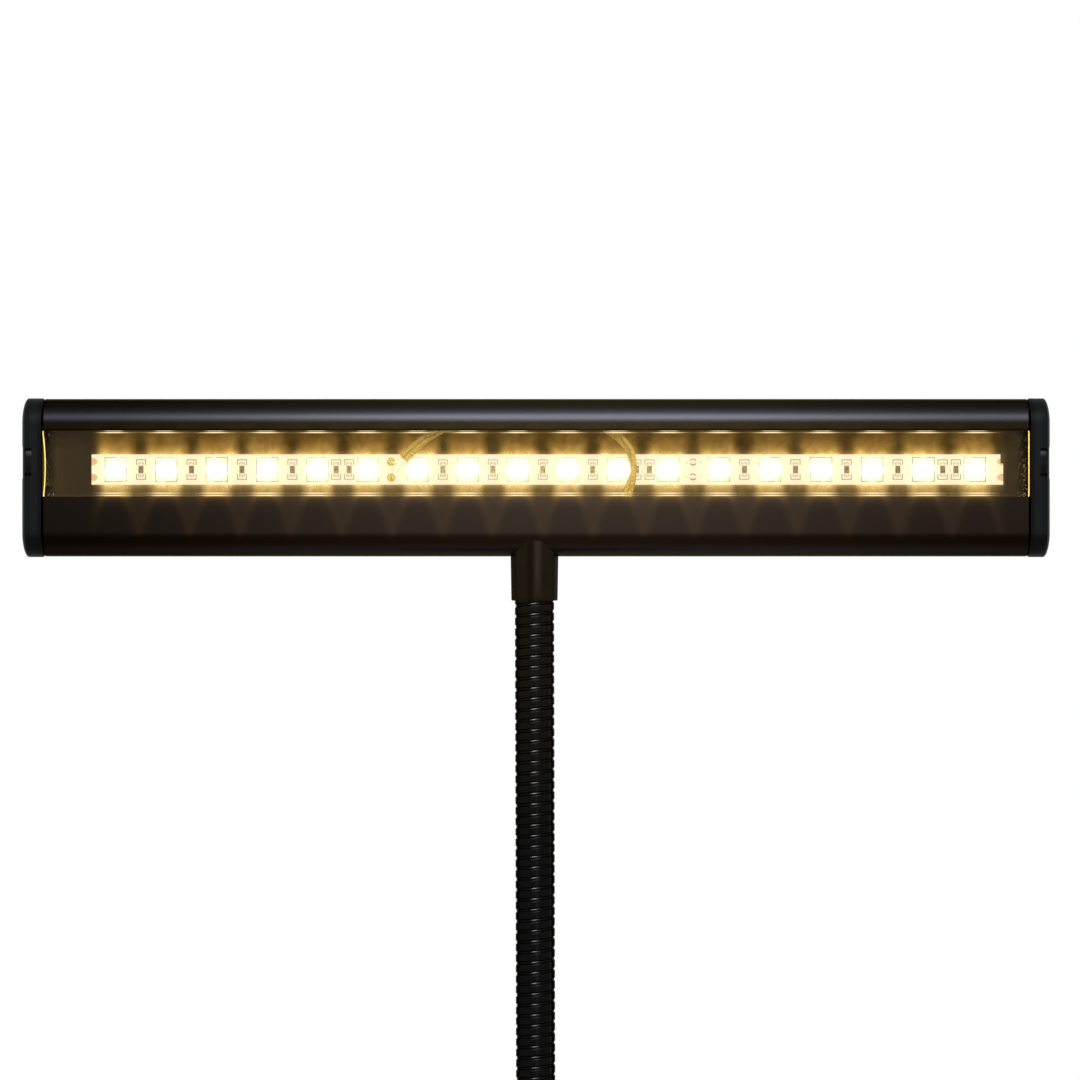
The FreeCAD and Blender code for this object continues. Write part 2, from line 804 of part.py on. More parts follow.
def neck_link(index):
    """A stretch of the gooseneck, with a square passage for the lead.

    A tenon at its foot sits in a pocket in the top of the stretch below. The joint's centre lies
    at the stretch's nominal end, and joints tilt about X and about Y by turns. The first and the
    last stretch end in a round spigot, for the collar and for the socket.
    """
    last = int(value("link_count"))
    body = place(new_body(f"neck_link_{index:02d}"), z=f"neck_low + link_length * {index - 1}")
    foot = "0" if index == 1 else "link_gap"
    top = "link_length" if index == last else "link_length - link_gap"
    barrel = disc(sketch_on(body, "XY_Plane", foot), 0, 0, "neck_wide")
    pad(body, barrel, f"{top} - ({foot})")
    if index == 1:
        spigot = disc(sketch_on(body, "XY_Plane"), 0, 0, "spigot_wide")
        pad(body, spigot, "spigot_length", reverse=True)
    else:
        tenon = square(sketch_on(body, "XY_Plane", "link_gap"), "tenon_wide", "tenon_wide")
        pad(body, tenon, "link_gap + tenon_low", reverse=True)
    if index == last:
        spigot = disc(sketch_on(body, "XY_Plane", "link_length"), 0, 0, "spigot_wide")
        pad(body, spigot, "spigot_length")
    else:
        snug = "tenon_wide + 2 * tenon_play"
        sides = (snug, "pocket_across") if index % 2 else ("pocket_across", snug)
        mouth = square(sketch_on(body, "XY_Plane", "link_length"), *sides)
        pocket(body, mouth, "pocket_deep")
    passage = square(sketch_on(body, "XY_Plane"), "lead_room", "lead_room")
    pocket(body, passage, "4 * link_length", both=True)
    return body


def square(sketch, x_size, y_size):
    """A rectangle of the given sizes about the sketch's middle."""
    return rectangle(
        sketch, f"-({x_size}) / 2", f"({x_size}) / 2", f"-({y_size}) / 2", f"({y_size}) / 2"
    )


def neck_lead():
    """The sheathed lead through the neck, from the base's chamber to the bar's floor."""
    body = place(new_body("neck_lead"), z="ceiling - tail_length")
    length = "head_low + saddle_floor - (ceiling - tail_length)"
    pad(body, disc(sketch_on(body, "XY_Plane"), 0, 0, "lead_wide"), length)
    return body


# ---------------------------------------------------------------- base


def base_casting():
    """Cast disc with a bevelled rim, hollowed from below for the switch, the inlet and the nut."""
    body = new_body("base_casting")
    rim = "base_wide / 2"
    profile = outline(
        sketch_on(body, "XZ_Plane"),
        [
            (0, "foot_thick"),
            (rim, "foot_thick"),
            (rim, "base_top - base_bevel"),
            (f"{rim} - base_bevel", "base_top"),
            (0, "base_top"),
        ],
    )
    turned(body, profile)
    rebate = rectangle(
        sketch_on(body, "XY_Plane"),
        "-plate_half - plate_play",
        "plate_half + plate_play",
        "-chamber_front - plate_play",
        "chamber_back + plate_play",
    )
    pocket(body, rebate, "plate_top", forward=True)
    chamber = rectangle(
        sketch_on(body, "XY_Plane"),
        "-chamber_wide / 2",
        "chamber_wide / 2",
        "-chamber_front",
        "chamber_back",
    )
    pocket(body, chamber, "ceiling", forward=True)
    seat = disc(
        sketch_on(body, "XZ_Plane", "-inlet_seat"),
        0,
        "inlet_above",
        "inlet_flange + 2 * inlet_play",
    )
    pocket(body, seat, "base_wide")
    passage = disc(
        sketch_on(body, "XZ_Plane", "-inlet_seat"),
        0,
        "inlet_above",
        "inlet_barrel + 2 * inlet_play",
    )
    pocket(body, passage, "inlet_seat - chamber_back + 1", forward=True)
    opening = rectangle(
        sketch_on(body, "XY_Plane", "base_top"),
        "-switch_wide / 2 - switch_play",
        "switch_wide / 2 + switch_play",
        "-switch_ahead - switch_long / 2 - switch_play",
        "-switch_ahead + switch_long / 2 + switch_play",
    )
    pocket(body, opening, "base_roof + 1")
    tail_hole = disc(sketch_on(body, "XY_Plane", "base_top"), 0, 0, "tail_wide + 2 * tail_play")
    pocket(body, tail_hole, "base_roof + 1")
    return body


def base_plate():
    """Steel plate that closes the chamber from below."""
    body = place(new_body("base_plate"), z="plate_low")
    plan = sketch_on(body, "XY_Plane")
    rectangle(plan, "-plate_half", "plate_half", "-chamber_front", "chamber_back")
    pad(body, plan, "plate_thick")
    return body


def base_pad():
    """Soft pad that the lamp stands on."""
    body = new_body("base_pad")
    plan = disc(sketch_on(body, "XY_Plane"), 0, 0, "base_wide - 2 * foot_inset")
    pad(body, plan, "foot_thick")
    return body


def neck_collar():
    """Turned collar on the base: a bore for the neck's spigot and a threaded hollow tail."""
    body = place(new_body("neck_collar"), z="base_top")
    bore = "spigot_wide / 2 + spigot_play"
    turned(
        body,
        outline(
            sketch_on(body, "XZ_Plane"),
            [
                ("nipple_bore / 2", "-base_roof - tail_length"),
                ("tail_wide / 2", "-base_roof - tail_length"),
                ("tail_wide / 2", 0),
                ("collar_wide / 2", 0),
                ("collar_wide / 2", "collar_high"),
                (bore, "collar_high"),
                (bore, "collar_high - spigot_length - spigot_play"),
                ("nipple_bore / 2", "collar_high - spigot_length - spigot_play"),
            ],
        ),
    )
    return body


def collar_nut():
    body = place(new_body("collar_nut"), z="ceiling - nut_thick")
    plan = sketch_on(body, "XY_Plane")
    polygon(plan, "nut_across / cos(30)", 6, 0)
    disc(plan, 0, 0, "tail_wide + 2 * seat_gap")
    pad(body, plan, "nut_thick")
    return body


def switch_housing():
    """Snap-in body with a rounded bezel and a pocket for the rocker."""
    body = place(new_body("switch_housing"), y="-switch_ahead", z="base_top")
    bezel = pad(
        body,
        rectangle(
            sketch_on(body, "XY_Plane"),
            "-bezel_wide / 2",
            "bezel_wide / 2",
            "-bezel_long / 2",
            "bezel_long / 2",
        ),
        "bezel_high",
    )
    doc.recompute()
    corners = [
        f"Edge{number}"
        for number, edge in enumerate(bezel.Shape.Edges, start=1)
        if abs(edge.BoundBox.ZLength - bezel.Shape.BoundBox.ZLength) < 1e-6
    ]
    rounding = body.newObject("PartDesign::Fillet", "switch_housing_fillet")
    rounding.Base = (bezel, corners)
    bind(rounding, Radius="bezel_round")
    case = rectangle(
        sketch_on(body, "XY_Plane"),
        "-switch_wide / 2",
        "switch_wide / 2",
        "-switch_long / 2",
        "switch_long / 2",
    )
    pad(body, case, "switch_deep", reverse=True)
    mouth = rectangle(
        sketch_on(body, "XY_Plane", "bezel_high"),
        "-mouth_wide / 2",
        "mouth_wide / 2",
        "-mouth_long / 2",
        "mouth_long / 2",
    )
    pocket(body, mouth, "pivot_drop + rocker_reach + rocker_play")
    pivot = disc(
        sketch_on(body, "YZ_Plane"),
        0,
        "bezel_high - pivot_drop",
        "trunnion_wide + 2 * trunnion_play",
    )
    pocket(body, pivot, "rocker_wide + 2 * trunnion_long + 2 * trunnion_play", both=True)
    return body


def switch_rocker():
    """Rocker about the pivot: its ends are arcs about it, and its top dips to the middle."""
    body = place(new_body("switch_rocker"), y="-switch_ahead", z="pivot_high")
    body.Placement.Rotation = FreeCAD.Rotation(Vector(1, 0, 0), -value("rocker_tilt"))
    reach = "rocker_reach"
    end_y, end_z = f"{reach} * cos(rocker_corner)", f"{reach} * sin(rocker_corner)"
    keel_y, keel_z = f"{reach} * cos(rocker_keel)", f"-{reach} * sin(rocker_keel)"
    profile = outline(
        sketch_on(body, "YZ_Plane"),
        [
            (f"-{end_y}", end_z, 0, 0),
            (f"-{keel_y}", keel_z),
            (keel_y, keel_z, 0, 0),
            (end_y, end_z),
            (0, f"{end_z} - rocker_dip"),
        ],
    )
    pad(body, profile, "rocker_wide", both=True)
    trunnion = disc(sketch_on(body, "YZ_Plane"), 0, 0, "trunnion_wide")
    pad(body, trunnion, "rocker_wide + 2 * trunnion_long", both=True)
    return body


def switch_terminals():
    """Two flat blades under the switch."""
    body = place(new_body("switch_terminals"), y="-switch_ahead", z="base_top - switch_deep")
    plan = sketch_on(body, "XY_Plane")
    for sign in "-+":
        middle = f"{sign} blade_gap / 2" if sign == "-" else "blade_gap / 2"
        rectangle(
            plan,
            "-blade_wide / 2",
            "blade_wide / 2",
            f"{middle} - blade_thick / 2",
            f"{middle} + blade_thick / 2",
        )
    pad(body, plan, "blade_long", reverse=True)
    return body


def inlet_socket():
    """Barrel inlet: flange outside, bushing through the boss, round bore with a floor."""
    body = place(new_body("inlet_socket"), y="inlet_seat", z="inlet_above")
    turned(
        body,
        outline(
            sketch_on(body, "XY_Plane"),
            [
                ("inlet_bore / 2", "inlet_flange_thick"),
                ("inlet_flange / 2", "inlet_flange_thick"),
                ("inlet_flange / 2", 0),
                ("inlet_barrel / 2", 0),
                ("inlet_barrel / 2", "-inlet_long"),
                (0, "-inlet_long"),
                (0, "inlet_flange_thick - inlet_bore_deep"),
                ("inlet_bore / 2", "inlet_flange_thick - inlet_bore_deep"),
            ],
        ),
    )
    return body


def inlet_pin():
    body = new_body("inlet_pin")
    place(body, y="inlet_seat + inlet_flange_thick - inlet_bore_deep", z="inlet_above")
    pin = disc(sketch_on(body, "XZ_Plane"), 0, 0, "inlet_pin_wide")
    pad(body, pin, "inlet_pin_long", reverse=True)
    return body


def inlet_nut():
    body = place(new_body("inlet_nut"), y="chamber_back", z="inlet_above")
    plan = sketch_on(body, "XZ_Plane")
    polygon(plan, "inlet_nut_across / cos(30)", 6, 0)
    disc(plan, 0, 0, "inlet_barrel + 2 * seat_gap")
    pad(body, plan, "inlet_nut_thick")
    return body


def inlet_terminals():
    """Two blades at the back of the inlet."""
    body = place(new_body("inlet_terminals"), y="inlet_seat - inlet_long", z="inlet_above")
    plan = sketch_on(body, "XZ_Plane")
    for sign in (-1, 1):
        rectangle(
            plan,
            f"{sign} * inlet_barrel / 4 - blade_thick / 2",
            f"{sign} * inlet_barrel / 4 + blade_thick / 2",
            "-blade_wide / 4",
            "blade_wide / 4",
        )
    pad(body, plan, "blade_long")
    return body


def build_all():
    """Every sub-part, in the order in which the lamp goes together."""
    head_housing()
    lens_cover()
    strip_adhesive()
    led_strip()
    led_packages()
    led_phosphors()
    resistors()
    strip_pads()
    solder_joints()
    strip_lead()
    cap_details(end_cap("end_cap_left", -1), -1)
    cap_details(end_cap("end_cap_right", 1), 1)
    neck_socket()
    socket_nipple()
    saddle_nut()
    for index in range(1, int(value("link_count")) + 1):
        neck_link(index)
    neck_lead()
    neck_collar()
    collar_nut()
    base_casting()
    base_plate()
    base_pad()
    switch_housing()
    switch_rocker()
    switch_terminals()
    inlet_socket()
    inlet_pin()
    inlet_nut()
    inlet_terminals()


def sub_parts():
    """The objects that are written to files."""
    return [
        thing
        for thing in doc.Objects
        if thing.TypeId == "PartDesign::Body" or thing.TypeId == "Part::Feature"
    ]


build_all()
doc.recompute()
failed = [thing.Label for thing in doc.Objects if {"Invalid", "Error"} & set(thing.State)]
if failed:
    raise RuntimeError(f"these objects failed: {failed}")
for thing in sub_parts():
    if thing.Shape.isNull() or not thing.Shape.isValid():
        raise RuntimeError(f"{thing.Label} has no valid shape")
os.makedirs("parts", exist_ok=True)
for thing in sub_parts():
    thing.Shape.exportStep(f"parts/{thing.Label}.step")
    print(f"{thing.Label}: {len(thing.Shape.Solids)} solids, {thing.Shape.Volume:.1f} mm3")
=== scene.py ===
"""Piano lamp: the finish of its light bar, wound gooseneck and weighted base.

Shapes are worked out in millimetres, +Z up, with the lit face of the bar towards -Y, and go into
the meshes in metres.
"""

import math

import bmesh
import bpy
import numpy as np
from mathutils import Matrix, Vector


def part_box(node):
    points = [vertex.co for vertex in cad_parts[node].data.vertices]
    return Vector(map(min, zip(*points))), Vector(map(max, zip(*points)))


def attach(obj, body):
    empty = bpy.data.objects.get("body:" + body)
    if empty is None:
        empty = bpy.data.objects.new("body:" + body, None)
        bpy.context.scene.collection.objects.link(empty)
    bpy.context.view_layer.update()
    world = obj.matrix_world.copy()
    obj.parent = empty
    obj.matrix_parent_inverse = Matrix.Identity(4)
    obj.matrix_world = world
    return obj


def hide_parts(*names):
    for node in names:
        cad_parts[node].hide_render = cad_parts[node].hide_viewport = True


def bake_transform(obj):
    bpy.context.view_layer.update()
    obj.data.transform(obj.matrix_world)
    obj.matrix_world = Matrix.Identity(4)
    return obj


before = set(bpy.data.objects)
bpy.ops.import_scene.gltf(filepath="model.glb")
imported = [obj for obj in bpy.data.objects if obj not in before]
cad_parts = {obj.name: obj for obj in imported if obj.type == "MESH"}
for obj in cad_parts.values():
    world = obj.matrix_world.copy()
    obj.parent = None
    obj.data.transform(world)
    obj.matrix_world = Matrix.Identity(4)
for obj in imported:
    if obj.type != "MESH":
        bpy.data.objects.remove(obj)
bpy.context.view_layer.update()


def span(node):
    """The lowest and highest corner of a solid, in millimetres."""
    low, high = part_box(node)
    return np.array(low) * 1000, np.array(high) * 1000


bar_low, bar_high = span("head_housing")
lights_low, lights_high = span("led_packages")

# Light bar: its ends, bottom, top and half depth. Over its bottom stand the middles of the two
# round edges and the lower and upper edge of the window in its face.
BAR_LEFT, BAR_RIGHT = bar_low[0], bar_high[0]
BAR_LOW, BAR_TOP = bar_low[2], bar_high[2]
ROUND = (bar_high[1] - bar_low[1]) / 2
LOWER_ROUND, UPPER_ROUND = 8, 44
WALL = 1.5
SILL, LINTEL = 19.6, 41.4
WINDOW_LOW, WINDOW_TOP = BAR_LOW + SILL, BAR_LOW + LINTEL

# Strip: three cut sections of six lights, 10 high.
SECTION = 100
STRIP_LEFT = span("led_strip")[0][0]
STRIP_RIGHT = STRIP_LEFT + 3 * SECTION
LIGHT_PITCH = 3 * SECTION / 18
LIGHT_MID = (lights_low[2] + lights_high[2]) / 2
STRIP_LOW, STRIP_TOP = LIGHT_MID - 5, LIGHT_MID + 5
# The strip lies a little left of even places: a bell about BOW_MIDDLE, and a shift up to its end.
BOW, BOW_MIDDLE, BOW_WIDTH = 1.0, 40, 70
SHIFT, SHIFT_END, SHIFT_SOFT = 0.33, 130, 40
# Half the distance of the two resistors at a section's end.
RESISTOR_PAIR = 2.15
# The two round cut pads: place along the bar, height over and under the middle, radius.
PAD_X, PAD_UP, PAD_ROUND = 51.84, 2.44, 1.15
# Painted highlight lines on the cover, over the bar's bottom.
LIP_LINE, UPPER_LINE, LOWER_LINE, LOWEST_LINE = 41.27, 40.66, 20.84, 20.14
# Middle of the snap tongue on the caps, over the bar's bottom.
TONGUE = 31
# Own colour of white pieces that shine by themselves or glow with painted lamplight, low so that
# lamplight adds little to it.
DROWNED = (0.10, 0.085, 0.06)

# Gooseneck: twelve stretches of five turns, its radius, how far left its top leans, and the
# height at which the groove passes the front; and the socket's height under the bar.
NECK_LOW, LINK_LONG, LINK_COUNT = 38.0, 17.35, 12
NECK_TOP = NECK_LOW + LINK_LONG * LINK_COUNT
NECK_ROUND = 6.5
NECK_LEAN = 0.5
WIND_PITCH = LINK_LONG / 5
WIND_START = 241.81
SOCKET_HIGH = 14.56


# ---------------------------------------------------------------- surfaces


def volume(points, faces):
    """Signed volume under flat faces: a sixth of the sum of each fan triangle's triple product."""
    total = 0.0
    for sides in {len(face) for face in faces}:
        index = np.array([face for face in faces if len(face) == sides])
        corners = points[index]
        fans = np.cross(corners[:, 1:-1], corners[:, 2:])
        total += np.einsum("fk,fnk->", corners[:, 0], fans) / 6
    return total


def surface(name, grid, ring=False, crease=35.0):
    """A closed mesh through a grid of points whose columns go round.

    Quads join neighbours; the first and last rows close with one flat face each, or join each
    other when ring is true. Faces turn outward by the sign of the volume that they enclose.
    """
    rows, columns = grid.shape[:2]
    points = grid.reshape(-1, 3).astype(float)
    index = np.arange(rows * columns).reshape(rows, columns)
    low, high = (index, np.roll(index, -1, 0)) if ring else (index[:-1], index[1:])
    quads = np.stack([low, np.roll(low, -1, 1), np.roll(high, -1, 1), high], -1)
    faces = quads.reshape(-1, 4).tolist()
    if not ring:
        faces += [index[0][::-1].tolist(), index[-1].tolist()]
    if volume(points - points.mean(0), faces) < 0:
        faces = [face[::-1] for face in faces]
    mesh = bpy.data.meshes.new(name)
    mesh.from_pydata((points / 1000).tolist(), [], faces)
    shell = bmesh.new()
    shell.from_mesh(mesh)
    bmesh.ops.remove_doubles(shell, verts=shell.verts, dist=1e-7)
    shell.to_mesh(mesh)
    shell.free()
    mesh.polygons.foreach_set("use_smooth", np.ones(len(mesh.polygons), bool))
    mesh.set_sharp_from_angle(angle=math.radians(crease))
    piece = bpy.data.objects.new(name, mesh)
    bpy.context.scene.collection.objects.link(piece)
    return piece


def round_about(radius, angle, z):
    """Rings about the Z axis, from radii, angles in radians and heights that match each other."""
    return np.stack(np.broadcast_arrays(radius * np.cos(angle), radius * np.sin(angle), z), -1)


def arc(centre, radius, first, last):
    """25 points of a circle's arc from the first to the last angle in degrees."""
    angle = np.radians(np.linspace(first, last, 25))
    return np.stack([centre[0] + radius * np.cos(angle), centre[1] + radius * np.sin(angle)], -1)


def dressed(piece, finish, slot, *nodes, body=None):
    """Give a new piece its finish and the body it rides on, and hide the solids it stands for;
    slot is not used.
    """
    piece.data.materials.append(finish.material)
    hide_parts(*nodes)
    if body:
        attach(piece, body)
    return piece


# ---------------------------------------------------------------- finishes


class Wire:
    """An output socket; arithmetic on values adds Math nodes."""

    def __init__(self, nodes, socket):
        self.nodes = nodes
        self.socket = socket

    def math(self, operation, *values):
        inputs = dict(enumerate(values))
        return self.nodes.node("ShaderNodeMath", {"operation": operation}, inputs)

    def __add__(self, other):
        return self.math("ADD", self, other)

    __radd__ = __add__

    def __mul__(self, other):
        return self.math("MULTIPLY", self, other)

    __rmul__ = __mul__

    def __sub__(self, other):
        return self.math("SUBTRACT", self, other)

    def __rsub__(self, other):
        return self.math("SUBTRACT", other, self)

    def __truediv__(self, other):
        return self.math("DIVIDE", self, other)

    def __pow__(self, other):
        return self.math("POWER", self, other)

    def __abs__(self):
        return self.math("ABSOLUTE", self)

    def part(self):
        """What is left after the whole number."""
        return self.math("FRACT", self)

    def exp(self):
        """e to the power of it."""
        return self.math("EXPONENT", self)

    def least(self, other):
        """The smaller of the two."""
        return self.math("MINIMUM", self, other)

    def most(self, other):
        """The larger of the two."""
        return self.math("MAXIMUM", self, other)

    def above(self, edge, soft):
        """0 below the edge and 1 above it, over a soft width."""
        half = soft / 2
        return self.nodes.node(
            "ShaderNodeMapRange",
            {"interpolation_type": "SMOOTHSTEP"},
            {"Value": self, "From Min": edge - half, "From Max": edge + half},
        )

    def below(self, edge, soft):
        """1 below the edge and 0 above it, over a soft width."""
        return 1 - self.above(edge, soft)

    def near(self, middle, half, soft):
        """1 within half of the middle, fading to 0 over a soft width."""
        return abs(self - middle).below(half, soft)

    def bell(self, middle, width):
        """A bell curve round the middle: e to the minus (distance / width) squared."""
        away = (self - middle) / width
        return (away * away * -1).exp()


class Nodes:
    """A node tree, emptied, and the one way of adding to it."""

    def __init__(self, tree):
        self.tree = tree
        tree.nodes.clear()

    def node(self, kind, settings=None, inputs=None, output=0):
        """A node of this type with its settings, then its sockets' values or links."""
        node = self.tree.nodes.new(kind)
        for name, setting in (settings or {}).items():
            setattr(node, name, setting)
        for name, source in (inputs or {}).items():
            self.feed(node.inputs[name], source)
        return node if output is None else Wire(self, node.outputs[output])

    def feed(self, socket, source):
        """Link a socket to a wire, or give it a value; a colour's three numbers get alpha 1."""
        if isinstance(source, Wire):
            self.tree.links.new(source.socket, socket)
        elif isinstance(source, tuple) and len(source) == 3 and socket.type == "RGBA":
            socket.default_value = (*source, 1.0)
        else:
            socket.default_value = source


class Finish(Nodes):
    """A material: its shader, and a point's place in millimetres."""

    def __init__(self, name, **sockets):
        self.material = bpy.data.materials.new(name)
        self.material.use_nodes = True
        super().__init__(self.material.node_tree)
        place = self.node("ShaderNodeTexCoord", output="Object")
        settings = {"operation": "SCALE"}
        self.mm = self.node("ShaderNodeVectorMath", settings, {0: place, "Scale": 1000.0})
        self.x, self.y, self.z = (
            self.node("ShaderNodeSeparateXYZ", inputs={0: self.mm}, output=axis) for axis in "XYZ"
        )
        self.shader = self.node("ShaderNodeBsdfPrincipled", inputs=sockets)
        self.out = self.node("ShaderNodeOutputMaterial", inputs={0: self.shader}, output=None)

    def set(self, **sockets):
        """Values or links for the shader's sockets, an underscore standing for a space."""
        shader = self.shader.socket.node
        for name, source in sockets.items():
            self.feed(shader.inputs[name.replace("_", " ").title().replace("Ior", "IOR")], source)
        return self

    def mix(self, share, first, second, way="MIX"):
        """Colours mixed by a share from 0 to 1."""
        settings = {"data_type": "RGBA", "blend_type": way}
        return self.node("ShaderNodeMix", settings, {0: share, 6: first, 7: second}, output=2)

    def layered(self, tone, *layers):
        """A colour with others laid over it in turn, each given as its share and the colour."""
        for share, colour in layers:
            tone = self.mix(share, tone, colour)
        return tone

    def tinted(self, colour, amount):
        """A colour times a number."""
        settings = {"operation": "SCALE"}
        return self.node("ShaderNodeVectorMath", settings, {0: colour, "Scale": amount})

    def noise(self, scale, detail=3.0, stretch=(1, 1, 1), rough=0.5):
        """Noise from 0 to 1 with this many blotches a millimetre, stretched along an axis."""
        place = self.node(
            "ShaderNodeVectorMath", {"operation": "MULTIPLY"}, {0: self.mm, 1: stretch}
        )
        inputs = {"Vector": place, "Scale": scale, "Detail": detail, "Roughness": rough}
        return self.node("ShaderNodeTexNoise", inputs=inputs)

    def bump(self, height, distance):
        """Normals from a height of 0 to 1, which stands for distance in millimetres."""
        inputs = {"Height": height, "Distance": distance / 1000, "Strength": 1.0}
        self.set(normal=self.node("ShaderNodeBump", inputs=inputs))
        return self


def fade(distance, reach):
    """An exponential fall from 1 as the distance grows."""
    return (distance * (-1 / reach)).exp()


def moulded(name, dark, light, rough, grain=0.02, specular=0.4):
    """Moulded or coated dark surface: slow colour drift, fine grain and uneven gloss."""
    finish = Finish(name, Roughness=rough)
    drift = finish.noise(0.15, 2.0)
    fine = finish.noise(2.6, 4.0)
    finish.set(base_color=finish.mix(drift, dark, light))
    finish.set(roughness=rough + (fine - 0.5) * 0.12 + (drift - 0.5) * 0.08)
    finish.set(specular_ior_level=specular)
    return finish.bump(fine, grain)


def plated(name, colour, worn, rough):
    """Plated or bare metal: fine grain, patches of duller colour."""
    finish = Finish(name, Metallic=1.0)
    grain = finish.noise(1.2, 4.0)
    patch = finish.noise(0.2, 2.0)
    finish.set(base_color=finish.mix(patch, colour, worn))
    finish.set(roughness=rough + (grain - 0.5) * 0.2 + (patch - 0.5) * 0.1)
    return finish.bump(grain, 0.01)


def along_strip(finish):
    """Place along the strip from its left end, as if its lights were evenly spread."""
    along = finish.x + BOW * finish.x.bell(BOW_MIDDLE, BOW_WIDTH)
    return along + SHIFT * finish.x.below(SHIFT_END, SHIFT_SOFT) - STRIP_LEFT


def from_light(finish):
    """How far a point is along the bar from the nearest light, negative to its left."""
    return ((along_strip(finish) / LIGHT_PITCH).part() - 0.5) * LIGHT_PITCH


def lit_length(finish):
    """1 along the lit length of the bar, fading to 0 at its ends."""
    return finish.x.above(STRIP_LEFT + 1.8, 5) * finish.x.below(STRIP_RIGHT - 0.5, 6)


def glare(finish):
    """1 about the bar's middle, where glare fades small marks."""
    return finish.x.near(-5, 60, 90)


def lamp_glow(finish, away, high):
    """Painted lamplight on a surface beside a light, or a light's own glow: white at the chip,
    then pale yellow, then cream.
    """
    across, up = away / 3.4, high / 2.75
    reach = (across * across + up * up) ** 0.5
    drift = finish.noise(0.25, 2.0)
    return finish.layered(
        (0.85, 0.71, 0.40),
        (reach.below(2.2, 1.0), (0.90, 0.82, 0.47)),
        (drift.above(0.55, 0.3) * 0.3, (0.97, 0.82, 0.62)),
        (reach.below(1.05, 0.95), (1.25, 1.25, 1.22)),
    )


def rays(finish, side, past):
    """Noise from 0 to 1 drawn out into rays of painted light that spread from each light past the
    strip's edge.
    """
    angle = side.math("ARCTAN2", side, past + 1.2)
    number = finish.x * (1 / LIGHT_PITCH) - side * (1 / LIGHT_PITCH)
    place = finish.node("ShaderNodeCombineXYZ", inputs={0: angle * 2.2, 1: past * 0.16, 2: number})
    inputs = {"Vector": place, "Scale": 1.3, "Detail": 2.5, "Roughness": 0.55}
    return finish.node("ShaderNodeTexNoise", inputs=inputs).above(0.5, 0.7)


def bar_tone_painted_bands(finish, streak):
    """The extrusion's dark tone with painted highlight and shade in bands over its height, neutral
    behind.
    """
    up = finish.z - BAR_LOW
    return finish.layered(
        (0.0260, 0.0178, 0.0118),
        # Painted shade over the window and at the lip's edge, a painted highlight on the upper
        # round, painted shade at the top and on the lower round, a painted floor reflection at the
        # bottom.
        (up.above(LINTEL - 0.5, 0.5), (0.0190, 0.0135, 0.0054)),
        (up.near(LINTEL + 0.3, 0.3, 0.4), (0.0085, 0.0040, 0.0004)),
        (up.above(44.6, 1.8), (0.0315, 0.0315, 0.0345)),
        (up.above(48.6, 1.8), (0.0200, 0.0170, 0.0110)),
        (up.below(7.3, 2.4), (0.0115, 0.0060, 0.0020)),
        (up.below(2.9, 4.0), (0.0260, 0.0225, 0.0190)),
        (streak * 0.35, (0.012, 0.010, 0.008)),
        (finish.y.above(0.0, 3.0), (0.0300, 0.0300, 0.0315)),
    )


def channel_glow(finish, side, cloud, blotch):
    """Level and hue of the painted lamplight on the channel's wall: a fan over and under each
    light, and speckles.
    """
    away = abs(side)
    patch = finish.noise(0.085, 2.0, (1, 1, 1.6))
    over = (finish.z - STRIP_TOP).most(0.0)
    under = (STRIP_LOW - finish.z).most(0.0)
    past = over + under
    ring = 1 - 0.22 * away.bell(1.6, 1.4) * fade(over, 3.0)
    upper_fan = away.below(5.9 + (patch - 0.5) * 5.0, 4.3) * ring
    lower_fan = away.below(4.4, 3.6)
    upper = 0.082 + 0.22 * fade(over, 0.8) + 0.60 * upper_fan * fade(over, 3.1)
    upper = upper * (0.50 + 1.00 * blotch)
    lower = 0.125 + 0.34 * fade(under, 0.9) + 0.56 * lower_fan * fade(under, 5.0)
    is_low = finish.z.below(LIGHT_MID, 1.0)
    speck = finish.noise(3.4, 0.0).above(0.60, 0.08) * fade(past, 1.8) * away.below(6.5, 4.0)
    speck = speck * patch.above(0.5, 0.3)
    grain = 0.38 + 0.95 * cloud + 0.24 * rays(finish, side, past) + 1.5 * speck
    hue = finish.layered(
        (1.0, 0.47, 0.060),
        (blotch, (1.0, 0.60, 0.120)),
        (fade(over, 1.6), (1.0, 0.64, 0.18)),
        (is_low, (1.0, 0.64, 0.20)),
    )
    return (upper + is_low * (lower - upper)) * grain, hue


def face_glow(finish, away, cloud, middle):
    """Level of the painted lamplight on the bar's face: beams that cross under the window, a rim
    over it.
    """
    drop = WINDOW_LOW - finish.z
    ridge = abs(away - (3.4 + drop * 0.42)).below(0.9, 3.4)
    fill = (away - (3.6 + drop * 0.30)).above(0.0, 4.2)
    fall = fade(drop, 2.0)
    skirt = 0.030 * fall + ridge * (0.034 * fall + 0.004) + fill * 0.015
    skirt = skirt * (0.80 + 0.40 * cloud) + 0.080 * fade(drop, 0.8) * away.below(5.4, 3.0)
    band = finish.z.below(WINDOW_LOW, 0.3) * finish.z.above(BAR_LOW + 7.0, 3.0)
    brow = finish.z.above(WINDOW_TOP, 0.3) * finish.z.below(WINDOW_TOP + 2.5, 3.0)
    brow = brow * 0.006 * away.above(3.5, 5.0)
    return (band * skirt + brow) * (0.35 + 0.65 * middle) * finish.y.below(-4.0, 3.0)


